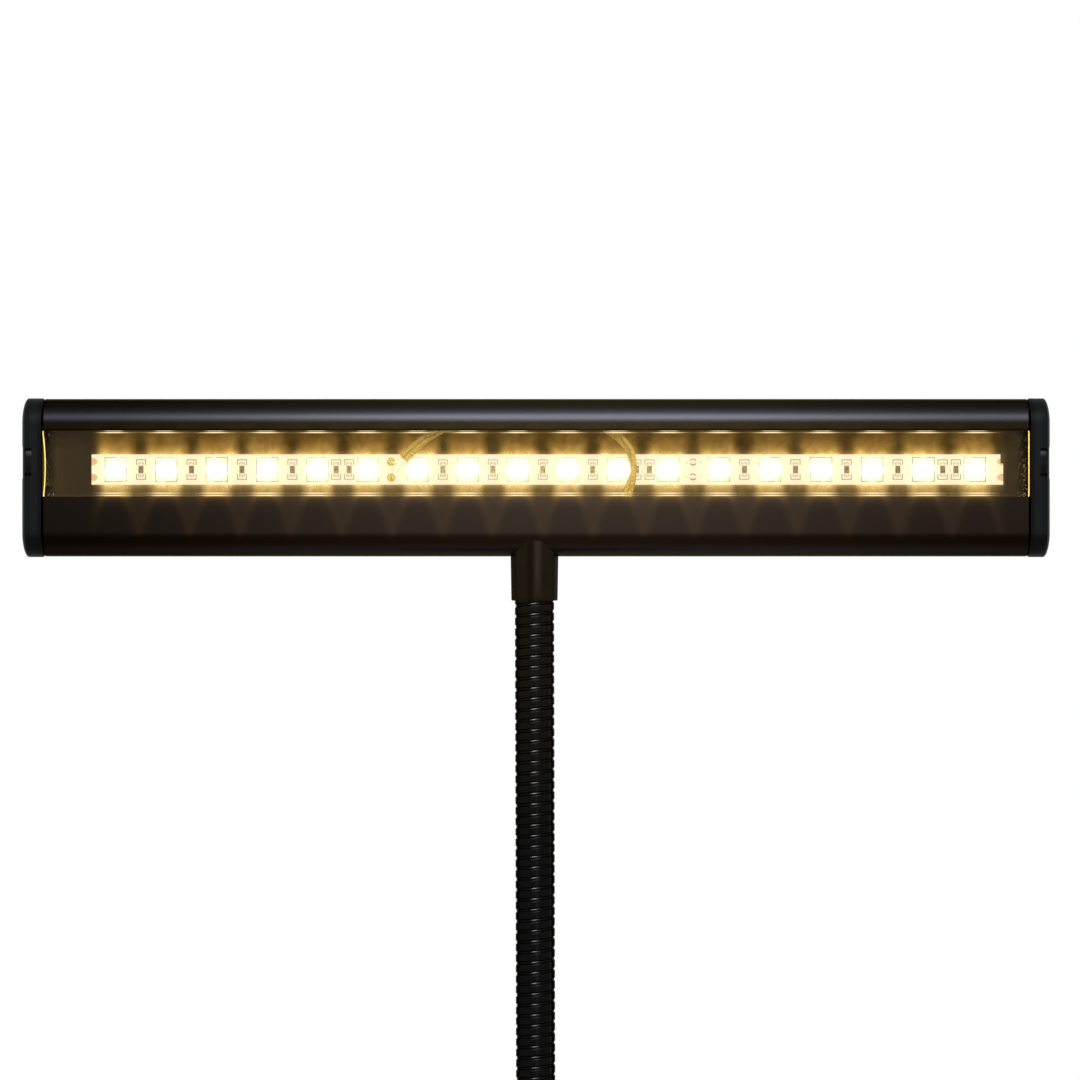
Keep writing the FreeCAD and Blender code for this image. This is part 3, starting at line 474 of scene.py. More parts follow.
def anodised_bar():
    """Black anodised extrusion: satin outside with painted highlight and shade, painted gold
    lamplight in its channel and on its lips.
    """
    finish = Finish("anodised_black", Metallic=1.0)
    side, lit = from_light(finish), lit_length(finish)
    streak = finish.noise(0.5, 4.0, (0.02, 1, 1))
    grain = finish.noise(3.0, 3.0)
    cloud = finish.noise(0.3, 4.0)
    blotch = finish.noise(0.13, 3.0, (1, 1, 0.5))
    inside = finish.y.above(-6.2, 0.4) * finish.y.below(1.0, 0.5)
    inside = inside * finish.z.near((WINDOW_LOW + WINDOW_TOP) / 2, 13.7, 0.2)
    # Painted falloff of the light towards the bar's ends, stronger to the left.
    middle = finish.x.above(-80, 190) * 0.72 + 0.28
    middle = middle * (0.48 + 0.52 * finish.x.below(95, 140))
    # Painted shade: the own colour dims towards the bar's ends and is nearly black inside the
    # channel.
    tone = finish.tinted(bar_tone_painted_bands(finish, streak), middle * (1 - 0.93 * inside))
    finish.set(base_color=tone, specular_tint=(0.50, 0.48, 0.44))
    finish.set(roughness=0.36 + (streak - 0.5) * 0.08 + (grain - 0.5) * 0.06)

    wall, hue = channel_glow(finish, side, cloud, blotch)
    wall = wall * lit
    outside = face_glow(finish, abs(side), cloud, middle) * lit
    glow = finish.mix(inside, (1.0, 0.58, 0.26), hue)
    glow = finish.tinted(glow, outside + inside * (wall - outside))
    # Painted dim lamplight in the channel past the strip's ends, brighter low down.
    ends = (0.55 + 0.45 * finish.z.below(BAR_LOW + 38, 10)) * (0.8 + 0.4 * blotch)
    ends = ends * (BAR_RIGHT - abs(finish.x)).above(2.0, 6.0)
    painted_dim_glow = finish.tinted((0.046, 0.030, 0.0135), ends * (1 - lit))
    glow = finish.mix(inside, glow, finish.mix(1.0, glow, painted_dim_glow, "ADD"))
    finish.set(emission_color=glow, emission_strength=1.0)
    return finish.bump(grain, 0.004)


def clear_cover():
    """Clear cover: see-through; painted lamplight on its bevelled edges and both ends, and painted
    glints on dust at the ends.
    """
    finish = Finish("clear_cover", Roughness=0.12)
    away, lit = abs(from_light(finish)), lit_length(finish)
    up = finish.z - BAR_LOW
    front = finish.y.below(-7.5, 0.3)
    # Painted highlight lines along the cover's bevelled edges and on the lip's edge.
    lip = up.near(LIP_LINE, 0.10, 0.06) * (0.07 + 0.93 * away.below(3.2, 3.2))
    upper = up.near(UPPER_LINE, 0.12, 0.07)
    lower = up.near(LOWER_LINE, 0.11, 0.07)
    lowest = up.near(LOWEST_LINE, 0.11, 0.07)
    lines = (upper + lower + lowest) * (0.26 + 0.74 * away.below(4.2, 7.0)) + lip
    lines = lines * front * lit
    # A painted grey glint on the lower lines past the lit length.
    grey_glint = (lower * 0.5 + lowest) * front * (1 - lit) * 0.085

    # Painted lamplight at both ends of the cover: a bright edge, bowed on the left, and a second
    # line.
    left = finish.x.below(0.0, 1.0)
    reach = BAR_RIGHT - 0.3 - abs(finish.x)
    curve = (up - 29.5) / 10.9
    bow = (1 - curve * curve) * left * 0.70
    fleck = finish.noise(1.6, 3.0)
    edge = reach.near(0.16 + bow, 0.19, 0.16) * (0.75 + 0.7 * fleck)
    ends = edge + reach.above(0.0, 0.1) * reach.below(bow, 0.15) * 0.20
    second = reach.near(1.7, 0.45, 0.8) * up.below(31, 8)
    second = second * fleck.above(0.55, 0.15) * (0.45 - 0.25 * left)
    # Dust at the cover's ends, with painted glints on it.
    dust_glints = finish.noise(2.2, 0.0).above(0.74, 0.03) * reach.below(5.5, 5.0)
    ends = (ends + second + dust_glints * 0.5) * front

    finish.set(base_color=(0.04, 0.035, 0.025), alpha=0.012 + 0.95 * lines + 0.80 * ends + grey_glint)
    tint = finish.layered(
        (1.0, 0.62, 0.18),
        (lines, (1.0, 0.79, 0.47)),
        (ends, (1.0, 0.72, 0.13)),
        (grey_glint * 9, (0.95, 0.85, 1.0)),
    )
    glow = finish.tinted(tint, lines * 1.25 + ends + grey_glint)
    return finish.set(emission_color=glow, emission_strength=1.4)


def frame_lines(wide, high, half_wide, half_high):
    """A thin printed rectangle about the middle."""
    outer = wide.below(half_wide + 0.13, 0.1) * high.below(half_high + 0.13, 0.1)
    return outer - wide.below(half_wide - 0.13, 0.1) * high.below(half_high - 0.13, 0.1)


def strip_board():
    """White flexible board: painted lamplight round each chip, printed frames, solder and copper
    ends.
    """
    finish = Finish("strip_board", Roughness=0.45)
    side, up = from_light(finish), finish.z - LIGHT_MID
    away, high, blown = abs(side), abs(up), glare(finish)

    printed = frame_lines(away, high, 3.55, 4.0)
    printed = printed * (0.25 + 0.75 * finish.noise(0.35, 1.0).above(0.5, 0.2))
    mark = side.near(3.4, 0.3, 0.2) * up.near(-3.7, 0.35, 0.2)

    section = (along_strip(finish) / SECTION).part() * SECTION
    edge = LIGHT_PITCH / 2 - away
    pair = section.near(LIGHT_PITCH * 5, 6, 0.1)
    chip = edge + pair * (abs(edge - RESISTOR_PAIR) - edge)
    # No resistor stands at a section's two cut ends: its distance is set far off there.
    chip = chip + 50 * (1 - section.near(SECTION / 2, 41, 0.1))
    bracket = frame_lines(chip, high, 1.5, 3.2) * high.above(1.5, 0.2)
    solder = chip.below(0.82, 0.12) * high.near(1.85, 0.35, 0.15)
    rim = frame_lines(chip, high, 0.82, 2.2) * high.above(1.3, 0.2)

    beside = abs(abs(finish.x - 52.0) - 2.3)
    flat = beside.below(0.42, 0.1) * high.near(2.4, 0.08, 0.08)
    upright = beside.below(0.08, 0.08) * up.near(2.4, 0.42, 0.1)

    end = (finish.x - STRIP_LEFT).least(STRIP_RIGHT + 0.9 - finish.x)
    pad = (end * end * 0.263 + (high - 2.6) * (high - 2.6) * 0.69).below(1.0, 0.15)
    copper = finish.mix(finish.noise(1.5), (0.60, 0.27, 0.05), (0.72, 0.42, 0.12))
    tone = finish.layered(
        lamp_glow(finish, side, high),
        (printed * (0.90 - 0.50 * blown), (0.22, 0.18, 0.03)),
        (mark * 0.25, (0.22, 0.16, 0.05)),
        (bracket * (0.92 - 0.25 * blown), (0.060, 0.040, 0.012)),
        (solder * 0.35, (0.62, 0.42, 0.13)),
        (rim * 0.6, (0.14, 0.085, 0.02)),
        ((flat + upright).least(1.0) * 0.6, (0.22, 0.16, 0.05)),
        (pad, copper),
    )
    return finish.set(base_color=DROWNED, emission_color=tone, emission_strength=1.0)


def lit_package():
    """A light's white package and its window, drowned in its own light."""
    finish = Finish("light_package", Roughness=0.4)
    tone = lamp_glow(finish, from_light(finish), finish.z - LIGHT_MID)
    return finish.set(base_color=DROWNED, emission_color=tone, emission_strength=1.0)


def beside_lights(name, dull, warm, bright, reach=3.2, fall=60.0, ring=None):
    """A small piece among the lights in painted lamplight: dull where it is far from one and
    bright close by.

    The painted light darkens above the strip over the fall. A ring, as its x, its height and its
    radius, gets painted shade outside the radius, on the rims of the solder joints.
    """
    finish = Finish(name, Roughness=0.35, **{"Specular IOR Level": 0.1})
    side, up = from_light(finish), finish.z - LIGHT_MID
    far = (side * side + up * up) ** 0.5
    speckle = finish.noise(1.9, 4.0, rough=0.65)
    tone = finish.mix(speckle.above(0.5, 0.22), dull, warm)
    tone = finish.mix(fade((far - 2.6).most(0.0), reach), tone, bright)
    if ring:
        dx, dz = finish.x - ring[0], abs(up) - ring[1]
        tone = finish.mix((dx * dx + dz * dz).above(ring[2] ** 2, 0.5) * 0.85, tone, dull)
    over = finish.z - STRIP_TOP
    tone = finish.mix(over.above(1.6, 3.0) * min(2.25 / fall, 0.75), tone, (0.26, 0.165, 0.036))
    tone = finish.tinted(tone, 0.40 + 0.60 * fade(over.most(0.0), fall))
    finish.set(base_color=finish.mix(speckle, dull, warm), emission_color=tone)
    return finish.set(emission_strength=0.85).bump(speckle, 0.05)


def chip_finish():
    """Chip resistors in painted lamplight: a dark coated middle with a rubbed code, lighter under
    painted glare about the bar's middle, bright plated ends.
    """
    finish = Finish("resistor_chip", Roughness=0.4)
    high, blown = abs(finish.z - LIGHT_MID), glare(finish)
    marks = finish.noise(1.3, 1.0, (1.6, 1, 1))
    coat = finish.mix(blown, (0.30, 0.20, 0.050), (0.66, 0.49, 0.18))
    code = finish.mix(blown, (0.030, 0.018, 0.004), (0.16, 0.105, 0.025))
    ends = high.above(1.20, 0.15), (0.98, 0.84, 0.50)
    tone = finish.layered(coat, (marks.near(0.5, 0.050, 0.03), code), ends)
    finish.set(base_color=finish.mix(marks, (0.020, 0.014, 0.006), (0.04, 0.03, 0.012)))
    return finish.set(emission_color=tone, emission_strength=0.9)


def pad_finish():
    """Copper pads in painted lamplight: cream, with painted shade on their lower part and a thin
    olive painted shade at the rim.
    """
    finish = Finish("cut_pads", Roughness=0.4)
    up = finish.z - LIGHT_MID
    dx, dz = finish.x - PAD_X, up - PAD_UP * (2 * up.above(0.0, 0.1) - 1)
    drift = finish.noise(1.2, 2.0)
    painted_rim_shade = ((dx * dx + dz * dz) ** 0.5).above(0.85, 0.16) * abs(dz).above(0.45, 0.5)
    tone = finish.layered(
        (0.90, 0.76, 0.50),
        (drift, (1.0, 0.92, 0.70)),
        # Painted shade on the pads' lower part and at their rims.
        (dz.below(-0.50, 0.4) * 0.6, (0.52, 0.34, 0.07)),
        (painted_rim_shade * (0.7 + 0.3 * drift), (0.13, 0.095, 0.015)),
    )
    return finish.set(base_color=(0.03, 0.02, 0.01), emission_color=tone, emission_strength=0.95)


def cap_plastic():
    """Matt black caps: painted shade underneath and in the groove at the seam, a painted highlight
    at the top of the snap tongue's face and painted shade below it.
    """
    finish = Finish("cap_plastic", Roughness=0.5, **{"Specular IOR Level": 0.05})
    drift, fine = finish.noise(0.15, 2.0), finish.noise(2.6, 4.0)
    past, up = abs(finish.x) - BAR_RIGHT, finish.z - BAR_LOW
    rel = up - TONGUE
    face = rel.near(0, 3.7, 0.2) * past.near(4.3, 0.9, 0.2) * finish.y.below(0.0, 1.0)
    tone = finish.layered(
        (0.0022, 0.0026, 0.0025),
        (drift, (0.0032, 0.0034, 0.0032)),
        # Painted shade underneath and in the groove at the seam; a painted highlight at the top of
        # the tongue's face and painted shade at its foot.
        (up.below(7, 3.0), (0.0004, 0.0005, 0.0004)),
        (past.below(1.5, 0.5), (0.0002, 0.0002, 0.0002)),
        (face * rel.above(2.4, 1.4), (0.030, 0.030, 0.029)),
        (face * rel.below(-1.0, 3.0), (0.0003, 0.0003, 0.0003)),
    )
    finish.set(base_color=tone, roughness=0.48 + (fine - 0.5) * 0.12 + (drift - 0.5) * 0.08)
    return finish.bump(fine, 0.01)


# ---------------------------------------------------------------- light bar


def bar_profile(cut=0.0):
    """The extrusion's outline across the bar, (y, z) over its bottom edge, and its hollow's.

    Two half circles and the channel with its two grooves between them. The cut is how much a
    chamfer takes off the outside.
    """
    face, ledge, back = -8 + cut, -6.5, -4.1
    outer = np.concatenate(
        [
            [(face, SILL)],
            arc((0, LOWER_ROUND), ROUND - cut, 180, 360),
            arc((0, UPPER_ROUND), ROUND - cut, 0, 180),
            [(face, LINTEL), (ledge, LINTEL), (ledge, 44.0), (-5.1, 44.0), (-5.1, 42.8)],
            [(back, 42.8), (back, 44.0), (0, 44.0), (0, 17.0), (back, 17.0), (back, 18.2)],
            [(-5.1, 18.2), (-5.1, 17.0), (ledge, 17.0), (ledge, SILL)],
        ]
    )
    inner_rounds = (
        arc((0, LOWER_ROUND), ROUND - WALL, 180, 360),
        arc((0, UPPER_ROUND), ROUND - WALL, 0, 180),
    )
    share = np.linspace(0, 1, 9)[:, None]
    upper = np.array([(ledge, 45.0)]) * (1 - share) + np.array([(1.5, 45.5)]) * share
    lower = np.array([(1.5, 15.5)]) * (1 - share) + np.array([(ledge, 15.4)]) * share
    inner = np.concatenate([[(ledge, 15.3)], *inner_rounds, upper[:-1], lower[:8]])
    return outer, inner[: len(outer)]


def housing():
    """The outline carried along X, turned in at both ends and back along its hollow."""
    outer, inner = bar_profile()
    turned_in = bar_profile(0.45)[0]
    stations = (
        (turned_in, BAR_LEFT),
        (outer, BAR_LEFT + 0.5),
        (outer, BAR_RIGHT - 0.5),
        (turned_in, BAR_RIGHT),
        (inner, BAR_RIGHT),
        (inner, BAR_LEFT),
    )
    rings = [
        np.column_stack([np.full(len(profile), x), profile[:, 0], BAR_LOW + profile[:, 1]])
        for profile, x in stations
    ]
    return surface("bar_housing", np.array(rings), ring=True)


def end_cap(name, side):
    """A push-in cap: level slices, each a rectangle whose outer end is half an ellipse.

    The half depth of a slice is 8.2 on the straight part and follows the round ends beyond it. The
    outline is cut back by 0.55 along the thumb recess, and two blind slots 1.5 deep on the front
    and back set the snap tongue off.
    """
    middle = (BAR_LOW + BAR_TOP) / 2
    half_high, half_deep, step = 26.2, 8.2, 1e-3
    bulge_from, bulge = 5.0, 2.2
    slot_near, slot_far, slot_seam, slot_deep = 3.65, 4.6, 3.4, 1.5
    straight = half_high - half_deep
    turn = np.radians(np.linspace(0, 90, 25))[1:]
    tip = straight + half_deep * np.sin(turn)
    tongue = BAR_LOW + TONGUE - middle
    edges = tongue + np.array([-5.5, -slot_far, -slot_near, slot_near, slot_far, 5.5])
    even = np.linspace(-straight, straight, 25)
    z = np.sort(np.concatenate([-tip, even, tip, edges - step, edges + step]))
    deep = np.sqrt(np.maximum(half_deep**2 - np.maximum(np.abs(z) - straight, 0) ** 2, 0))
    share = (deep / half_deep)[:, None]

    cut = math.degrees(math.acos(0.75 / bulge))
    bend = np.concatenate([[-90, -cut - 0.05, -cut + 0.05], np.linspace(-66, 66, 25)])
    bend = np.radians(np.concatenate([bend, [cut - 0.05, cut + 0.05, 90]]))
    x_end = bulge_from + bulge * share * np.cos(bend)
    y_end = share * half_deep * np.sin(bend)
    flat = np.array([0, 0.35, slot_seam - step, slot_seam + step])
    x_flat = np.maximum(flat, np.maximum(np.abs(z) - (half_high - 0.45), 0)[:, None])
    y_flat = share * np.array([half_deep - 0.5, half_deep, half_deep, half_deep])
    x = np.column_stack([x_flat, x_end, x_flat[:, ::-1]])
    y = np.column_stack([-y_flat, y_end, y_flat[:, ::-1]])

    rel = np.abs(z - tongue)[:, None]
    x = np.where(rel < 5.3, np.minimum(x, 6.65), x)
    slot = (rel > slot_near) & (rel < slot_far) & (x > slot_seam) & (x < 5.5)
    y = np.where(slot, y * (1 - slot_deep / half_deep), y)
    seam = BAR_RIGHT if side > 0 else BAR_LEFT
    height = np.broadcast_to((z + middle)[:, None], x.shape)
    return surface(name, np.stack([seam + side * x, y, height], -1), crease=40)


dressed(housing(), anodised_bar(), "black_anodised", "head_housing", body="head")
cap_finish = cap_plastic()
for cap_name, cap_side in (("left", -1), ("right", 1)):
    cap = end_cap(f"cap_{cap_name}", cap_side)
    dressed(cap, cap_finish, "black_plastic", f"end_cap_{cap_name}", body="head")


# ---------------------------------------------------------------- strip and lead


def upright_boxes(name, low, high):
    """One mesh of upright boxes, row by row from their lowest and highest corners."""
    pick = np.array([(i, j, k) for i in (0, 1) for j in (0, 1) for k in (0, 1)])
    corners = np.stack([low, high])
    points = corners[pick, :, np.arange(3)].transpose(2, 0, 1)
    sides = np.array(
        [(0, 1, 3, 2), (4, 6, 7, 5), (0, 4, 5, 1), (2, 3, 7, 6), (0, 2, 6, 4), (1, 5, 7, 3)]
    )
    faces = (sides[None] + 8 * np.arange(len(low))[:, None, None]).reshape(-1, 4)
    mesh = bpy.data.meshes.new(name)
    mesh.from_pydata((points.reshape(-1, 3) / 1000).tolist(), [], faces.tolist())
    piece = bpy.data.objects.new(name, mesh)
    bpy.context.scene.collection.objects.link(piece)
    return piece


def bowed(x):
    """Where a place on an evenly spread strip comes to lie."""
    share = np.clip((x - SHIFT_END) / SHIFT_SOFT + 0.5, 0, 1)
    shift = SHIFT * (1 - share * share * (3 - 2 * share))
    return x - shift - BOW * np.exp(-(((x - BOW_MIDDLE) / BOW_WIDTH) ** 2))


def smooth_path(points, spacing=0.25, reach=14):
    """The points joined by straight runs, resampled evenly, corners rounded by averaging."""
    points = np.array(points, float)
    run = np.concatenate([[0], np.cumsum(np.linalg.norm(np.diff(points, axis=0), axis=1))])
    even = np.linspace(0, run[-1], int(run[-1] / spacing) + 1)
    dense = np.stack([np.interp(even, run, column) for column in points.T], -1)
    bell = np.exp(-((np.arange(-reach, reach + 1) / (reach / 2)) ** 2))
    padded = np.pad(dense, ((reach, reach), (0, 0)), mode="reflect", reflect_type="odd")
    smooth = [np.convolve(column, bell / bell.sum(), "valid") for column in padded.T]
    return np.stack(smooth, -1)


def drawn(name, path, across, through, crease=50):
    """A section carried along a path of x, y, z and twist in degrees.

    across and through are the section's coordinates; without twist, across lies in the plane of
    the bar's face and through points away from the viewer.
    """
    centre, twist = path[:, :3], np.radians(path[:, 3])[:, None]
    along = np.gradient(centre, axis=0)
    along /= np.linalg.norm(along, axis=1)[:, None]
    side = np.cross(along, (0.0, 1.0, 0.0))
    side /= np.linalg.norm(side, axis=1)[:, None]
    back = np.cross(side, along)
    first = side * np.cos(twist) + back * np.sin(twist)
    second = back * np.cos(twist) - side * np.sin(twist)
    grid = centre[:, None] + first[:, None] * across[:, None] + second[:, None] * through[:, None]
    return surface(name, grid, crease=crease)


def twin_lead():
    """Flat twin lead: two round cores of radius 0.85 side by side, joined by a web.

    It climbs from the hollow screw past the strip, turns edge on beside it, runs along the top of
    the channel and comes down to the two solder joints.
    """
    core, off, web = 0.85, 0.87, 0.3
    turn = np.radians(np.arange(0, 360, 10))
    across = (core + off) * np.cos(turn)
    round_part = core**2 - (np.abs(across) - off) ** 2
    through = np.sqrt(np.maximum(round_part, np.where(np.abs(across) < off, web**2, 0.0)))
    through = through * np.sign(np.round(np.sin(turn), 6))
    route = [
        (0.0, -2.6, 7.4, 90),
        (0.0, -2.6, 11.5, 90),
        (26.0, -2.7, 11.0, 30),
        (29.6, -2.7, 18.0, 10),
        (30.2, -2.9, 21.5, 15),
        (31.6, -3.1, 25.0, 60),
        (32.3, -3.1, 28.0, 88),
        (32.0, -3.1, 31.5, 75),
        (31.0, -3.1, 35.0, 50),
        (27.6, -3.1, 39.4, 25),
        (22.0, -3.1, 42.6, 80),
        (14.0, -3.1, 42.9, 90),
        (-22.0, -3.1, 42.9, 90),
        (-31.0, -3.1, 42.2, 40),
        (-36.5, -3.0, 39.0, 20),
        (-40.6, -2.9, 35.4, 15),
        (-43.7, -2.6, 32.3, 20),
    ]
    path = smooth_path(route)
    path[:, 2] += BAR_LOW
    return drawn("twin_lead", path, across, through)


def bare_strands(name, end_x, end_z):
    """A core's bare copper, from the lead's end to its solder joint."""
    bare = 0.28
    turn = np.radians(np.arange(0, 360, 30))
    route = [(-42.9, -2.7, 33.0, 0), (-44.4, -2.2, 31.7, 0), (end_x, -1.2, end_z, 0)]
    path = smooth_path(route, reach=4)
    path[:, 2] += BAR_LOW
    return drawn(name, path, bare * np.cos(turn), bare * np.sin(turn))


def cut_pad(number, up):
    """A flat copper disc, 0.06 thick, on the strip's face."""
    turn = np.radians(np.arange(0, 360, 15))
    ring = PAD_ROUND * np.stack([np.cos(turn), np.zeros(len(turn)), np.sin(turn)], -1)
    middle = np.array([PAD_X, -0.45, LIGHT_MID + up])
    return surface(f"cut_pad_{number}", np.array([middle + ring, middle + ring - (0, 0.06, 0)]))


places = LIGHT_PITCH * np.array([1, 2, 3, 4, 5, 5]) + RESISTOR_PAIR * np.array([0, 0, 0, 0, -1, 1])
chip_x = bowed((STRIP_LEFT + SECTION * np.arange(3)[:, None] + places).ravel())
chip_size = np.array([1.6, 0.55, 3.2])
chip_low = np.stack([chip_x, np.full(18, -1.0), np.full(18, LIGHT_MID)], -1)
chip_low -= chip_size * (0.5, 0, 0.5)
chips = upright_boxes("chip_resistors", chip_low, chip_low + chip_size)
dressed(chips, chip_finish(), "resistor", "resistors", body="head")

pad_tone = pad_finish()
dressed(cut_pad(1, PAD_UP), pad_tone, "copper", "strip_pads", body="head")
dressed(cut_pad(2, -PAD_UP), pad_tone, "copper", body="head")

lead_finish = beside_lights(
    "lead_sheath", (0.10, 0.060, 0.010), (0.46, 0.29, 0.06), (1.0, 0.84, 0.26), 1.3, 3.0
)
dressed(twin_lead(), lead_finish, "lead_sheath", "strip_lead", body="head")
strand_finish = beside_lights(
    "bare_strands", (0.55, 0.34, 0.20), (0.85, 0.62, 0.42), (1.0, 0.90, 0.60)
)
for strand_name, strand_x, strand_z in (("upper", -47.2, 30.9), ("lower", -46.9, 27.0)):
    strands = bare_strands(f"strands_{strand_name}", strand_x, strand_z)
    dressed(strands, strand_finish, "copper", body="head")


# ---------------------------------------------------------------- socket


def coped(y):
    """Height of the bar's round bottom above its lowest line, at a depth y, with 0.03 play."""
    return LOWER_ROUND - np.sqrt(np.maximum((LOWER_ROUND + 0.03) ** 2 - y**2, 0.0))


def lean(z):
    """The neck's slight lean to the left, growing from the collar to the socket."""
    return -NECK_LEAN * np.clip((z - NECK_LOW) / (NECK_TOP - NECK_LOW), 0, 1)


def ten_sided():
    """The socket: ten flats that taper, top cut to the bar's round bottom, bored for the neck.

    A flat's distance from the axis grows as 1 / cos of the angle from its middle, and stops short
    of the full corner, which rounds the edges.
    """
    angle = np.radians(np.arange(0, 360, 2.0))
    off = (np.degrees(angle) + 90 - 1.5 + 18) % 36 - 18
    horn, bore_round, foot = 5.35, 6.75, -SOCKET_HIGH
    step = np.concatenate([[0, 0.02], np.linspace(0.05, 1, 24)])[:, None]
    corner = np.array([7.52, 7.66, *np.linspace(7.71, 7.93, 24)])[:, None]
    flat = corner * math.cos(math.radians(18)) / np.cos(np.radians(off))
    radius = np.minimum(flat, corner * 0.993)
    top = np.minimum(coped(radius[-1] * np.sin(angle)), horn)
    outer = round_about(radius, angle, foot + (top - foot) * step)
    inward = radius[-1] + (bore_round - radius[-1]) * np.array([[0.5], [1.0]])
    lip = round_about(inward, angle, np.minimum(coped(inward * np.sin(angle)), horn))
    bore = lip[1:].copy()
    bore[:, :, 2] = foot
    grid = np.concatenate([outer, lip, bore])
    grid[:, :, 2] += BAR_LOW
    grid[:, :, 0] += lean(NECK_TOP)
    return surface("socket", grid, ring=True, crease=20)


def socket_finish():
    """Black coated socket with a brown cast; painted shade on a flat and a painted highlight on
    its front, which fades towards its foot.
    """
    finish = Finish("socket_coat", Metallic=1.0)
    drift, fine = finish.noise(0.12, 2.0), finish.noise(2.4, 4.0)
    tone = finish.mix(drift, (0.0098, 0.0070, 0.0038), (0.0150, 0.0112, 0.0070))
    # Painted shade on the flat left of the front, and a painted highlight on the front, fading
    # down to the foot.
    tone = finish.mix(finish.x.near(-1.9, 1.0, 1.0) * 0.7, tone, (0.0050, 0.0028, 0.0008))
    painted_highlight = finish.x.near(0.5, 0.8, 1.2) * finish.z.above(BAR_LOW - 10, 8)
    tone = finish.mix(painted_highlight * 0.7, tone, (0.0240, 0.0190, 0.0140))
    finish.set(base_color=tone, specular_tint=(0.46, 0.44, 0.40))
    finish.set(roughness=0.34 + (fine - 0.5) * 0.10)
    return finish.bump(fine, 0.003)


dressed(ten_sided(), socket_finish(), "cast_black", "neck_socket", body="head")


# ---------------------------------------------------------------- gooseneck


def wound(name, low, high, first=None, last=None):
    """A stretch of the gooseneck: a round tube less a groove that climbs one pitch a turn.

    The groove's depth at a point falls off with the distance to the helix z = start + pitch x
    turn, and a thin bead lies along the groove's middle. first and last are the far height and
    the radius of a plain end.
    """
    columns, row_step = 84, 0.12
    groove_deep, groove_half = 0.42, 0.50
    bead_high, bead_half = 0.16, 0.20
    angle = np.linspace(-math.pi, math.pi, columns, endpoint=False)
    turn = (angle + math.pi / 2) / (2 * math.pi)
    z = np.linspace(low, high, round((high - low) / row_step) + 1)[:, None]
    phase = (z - WIND_START) / WIND_PITCH - turn
    away = np.abs(phase - np.round(phase)) * WIND_PITCH
    groove = groove_deep * np.exp(-((away / groove_half) ** 4))
    bead = bead_high * np.exp(-((away / bead_half) ** 2))
    grid = round_about(NECK_ROUND - (groove - bead), angle, z)
    if first:
        far, radius = first
        grid = np.concatenate([round_about(radius, angle, np.array([[far], [low]])), grid])
    if last:
        far, radius = last
        grid = np.concatenate([grid, round_about(radius, angle, np.array([[high], [far]]))])
    grid[:, :, 0] += lean(grid[:, :, 2])
    return surface(name, grid, crease=60)


def neck_coat():
    """Blackened steel wound tube, browner towards the head: painted shade in the groove, painted
    highlights on the front and a painted reflection line along one side.
    """
    finish = Finish("neck_coat", Metallic=1.0)
    drift, fine = finish.noise(0.12, 2.0), finish.noise(2.4, 4.0)
    x = finish.x + (finish.z - NECK_LOW) * (NECK_LEAN / (NECK_TOP - NECK_LOW))
    turn = finish.y.math("ARCTAN2", finish.y, x) * (0.5 / math.pi) + 0.25
    phase = ((finish.z - WIND_START) / WIND_PITCH - turn + 0.5).part() - 0.5
    above = phase * WIND_PITCH
    facing = finish.y.below(0, 0.5)
    front = facing * x.near(-0.4, 0.75, 1.6)
    tone = finish.layered(
        (0.0056, 0.0058, 0.0056),
        (finish.z.above(205, 90), (0.0104, 0.0084, 0.0054)),
        # A painted highlight band on the front, a painted reflection line near the side, painted
        # shade in the groove, painted glints on the bead and a second fainter painted line below.
        (x.near(0.55, 0.35, 0.9) * facing, (0.0125, 0.0112, 0.0100)),
        (x.near(4.95, 0.2, 0.5) * facing, (0.018, 0.017, 0.0155)),
        (abs(above).near(0.42, 0.20, 0.2) * 0.8, (0.0015, 0.0013, 0.0012)),
        (abs(above).below(0.15, 0.12) * front, (0.075, 0.070, 0.064)),
        (above.near(-1.0, 0.10, 0.14) * front * 0.3, (0.060, 0.056, 0.052)),
        (drift * 0.3, (0.003, 0.003, 0.003)),
    )
    finish.set(base_color=tone, specular_tint=(0.45, 0.45, 0.44))
    finish.set(roughness=0.24 + (fine - 0.5) * 0.10)
    return finish.bump(fine, 0.003)


def rocker_finish():
    """Black rocker with a white line and a white ring printed on its two ends."""
    finish = Finish("rocker_plastic", Roughness=0.3)
    fine = finish.noise(2.6, 4.0)
    line = abs(finish.x).below(1.5, 0.1) * finish.y.near(-44.6, 0.28, 0.1)
    dy = finish.y + 35.6
    ring = ((finish.x * finish.x + dy * dy) ** 0.5).near(1.4, 0.28, 0.1)
    mark = (line + ring) * finish.z.above(21.0, 0.5)
    tone = finish.mix(fine, (0.006, 0.006, 0.0065), (0.010, 0.010, 0.0105))
    finish.set(base_color=finish.mix(mark, tone, (0.62, 0.62, 0.60)))
    finish.set(roughness=0.28 + (fine - 0.5) * 0.12)
    return finish.bump(fine, 0.008)


neck_finish = neck_coat()
middles = NECK_LOW + LINK_LONG * (np.arange(LINK_COUNT) + 0.5)

foot = wound("neck_wound_foot", NECK_LOW, middles[0], first=(NECK_LOW - 6.0, 5.0))
dressed(foot, neck_finish, "neck_steel", "neck_link_01", "neck_lead", body="base")
for k in range(1, LINK_COUNT):
    low, high = middles[k - 1], middles[k]
    piece = wound(f"neck_wound_{k:02d}", low, high)
    nodes = [f"neck_link_{k + 1:02d}"] if k < LINK_COUNT - 1 else []
    dressed(piece, neck_finish, "neck_steel", *nodes)
    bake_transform(piece)
head_end = wound("neck_wound_head", middles[-1], NECK_TOP, last=(NECK_TOP + 6.0, 5.9))
dressed(head_end, neck_finish, "neck_steel", "neck_link_12", body="head")


# ---------------------------------------------------------------- small screws


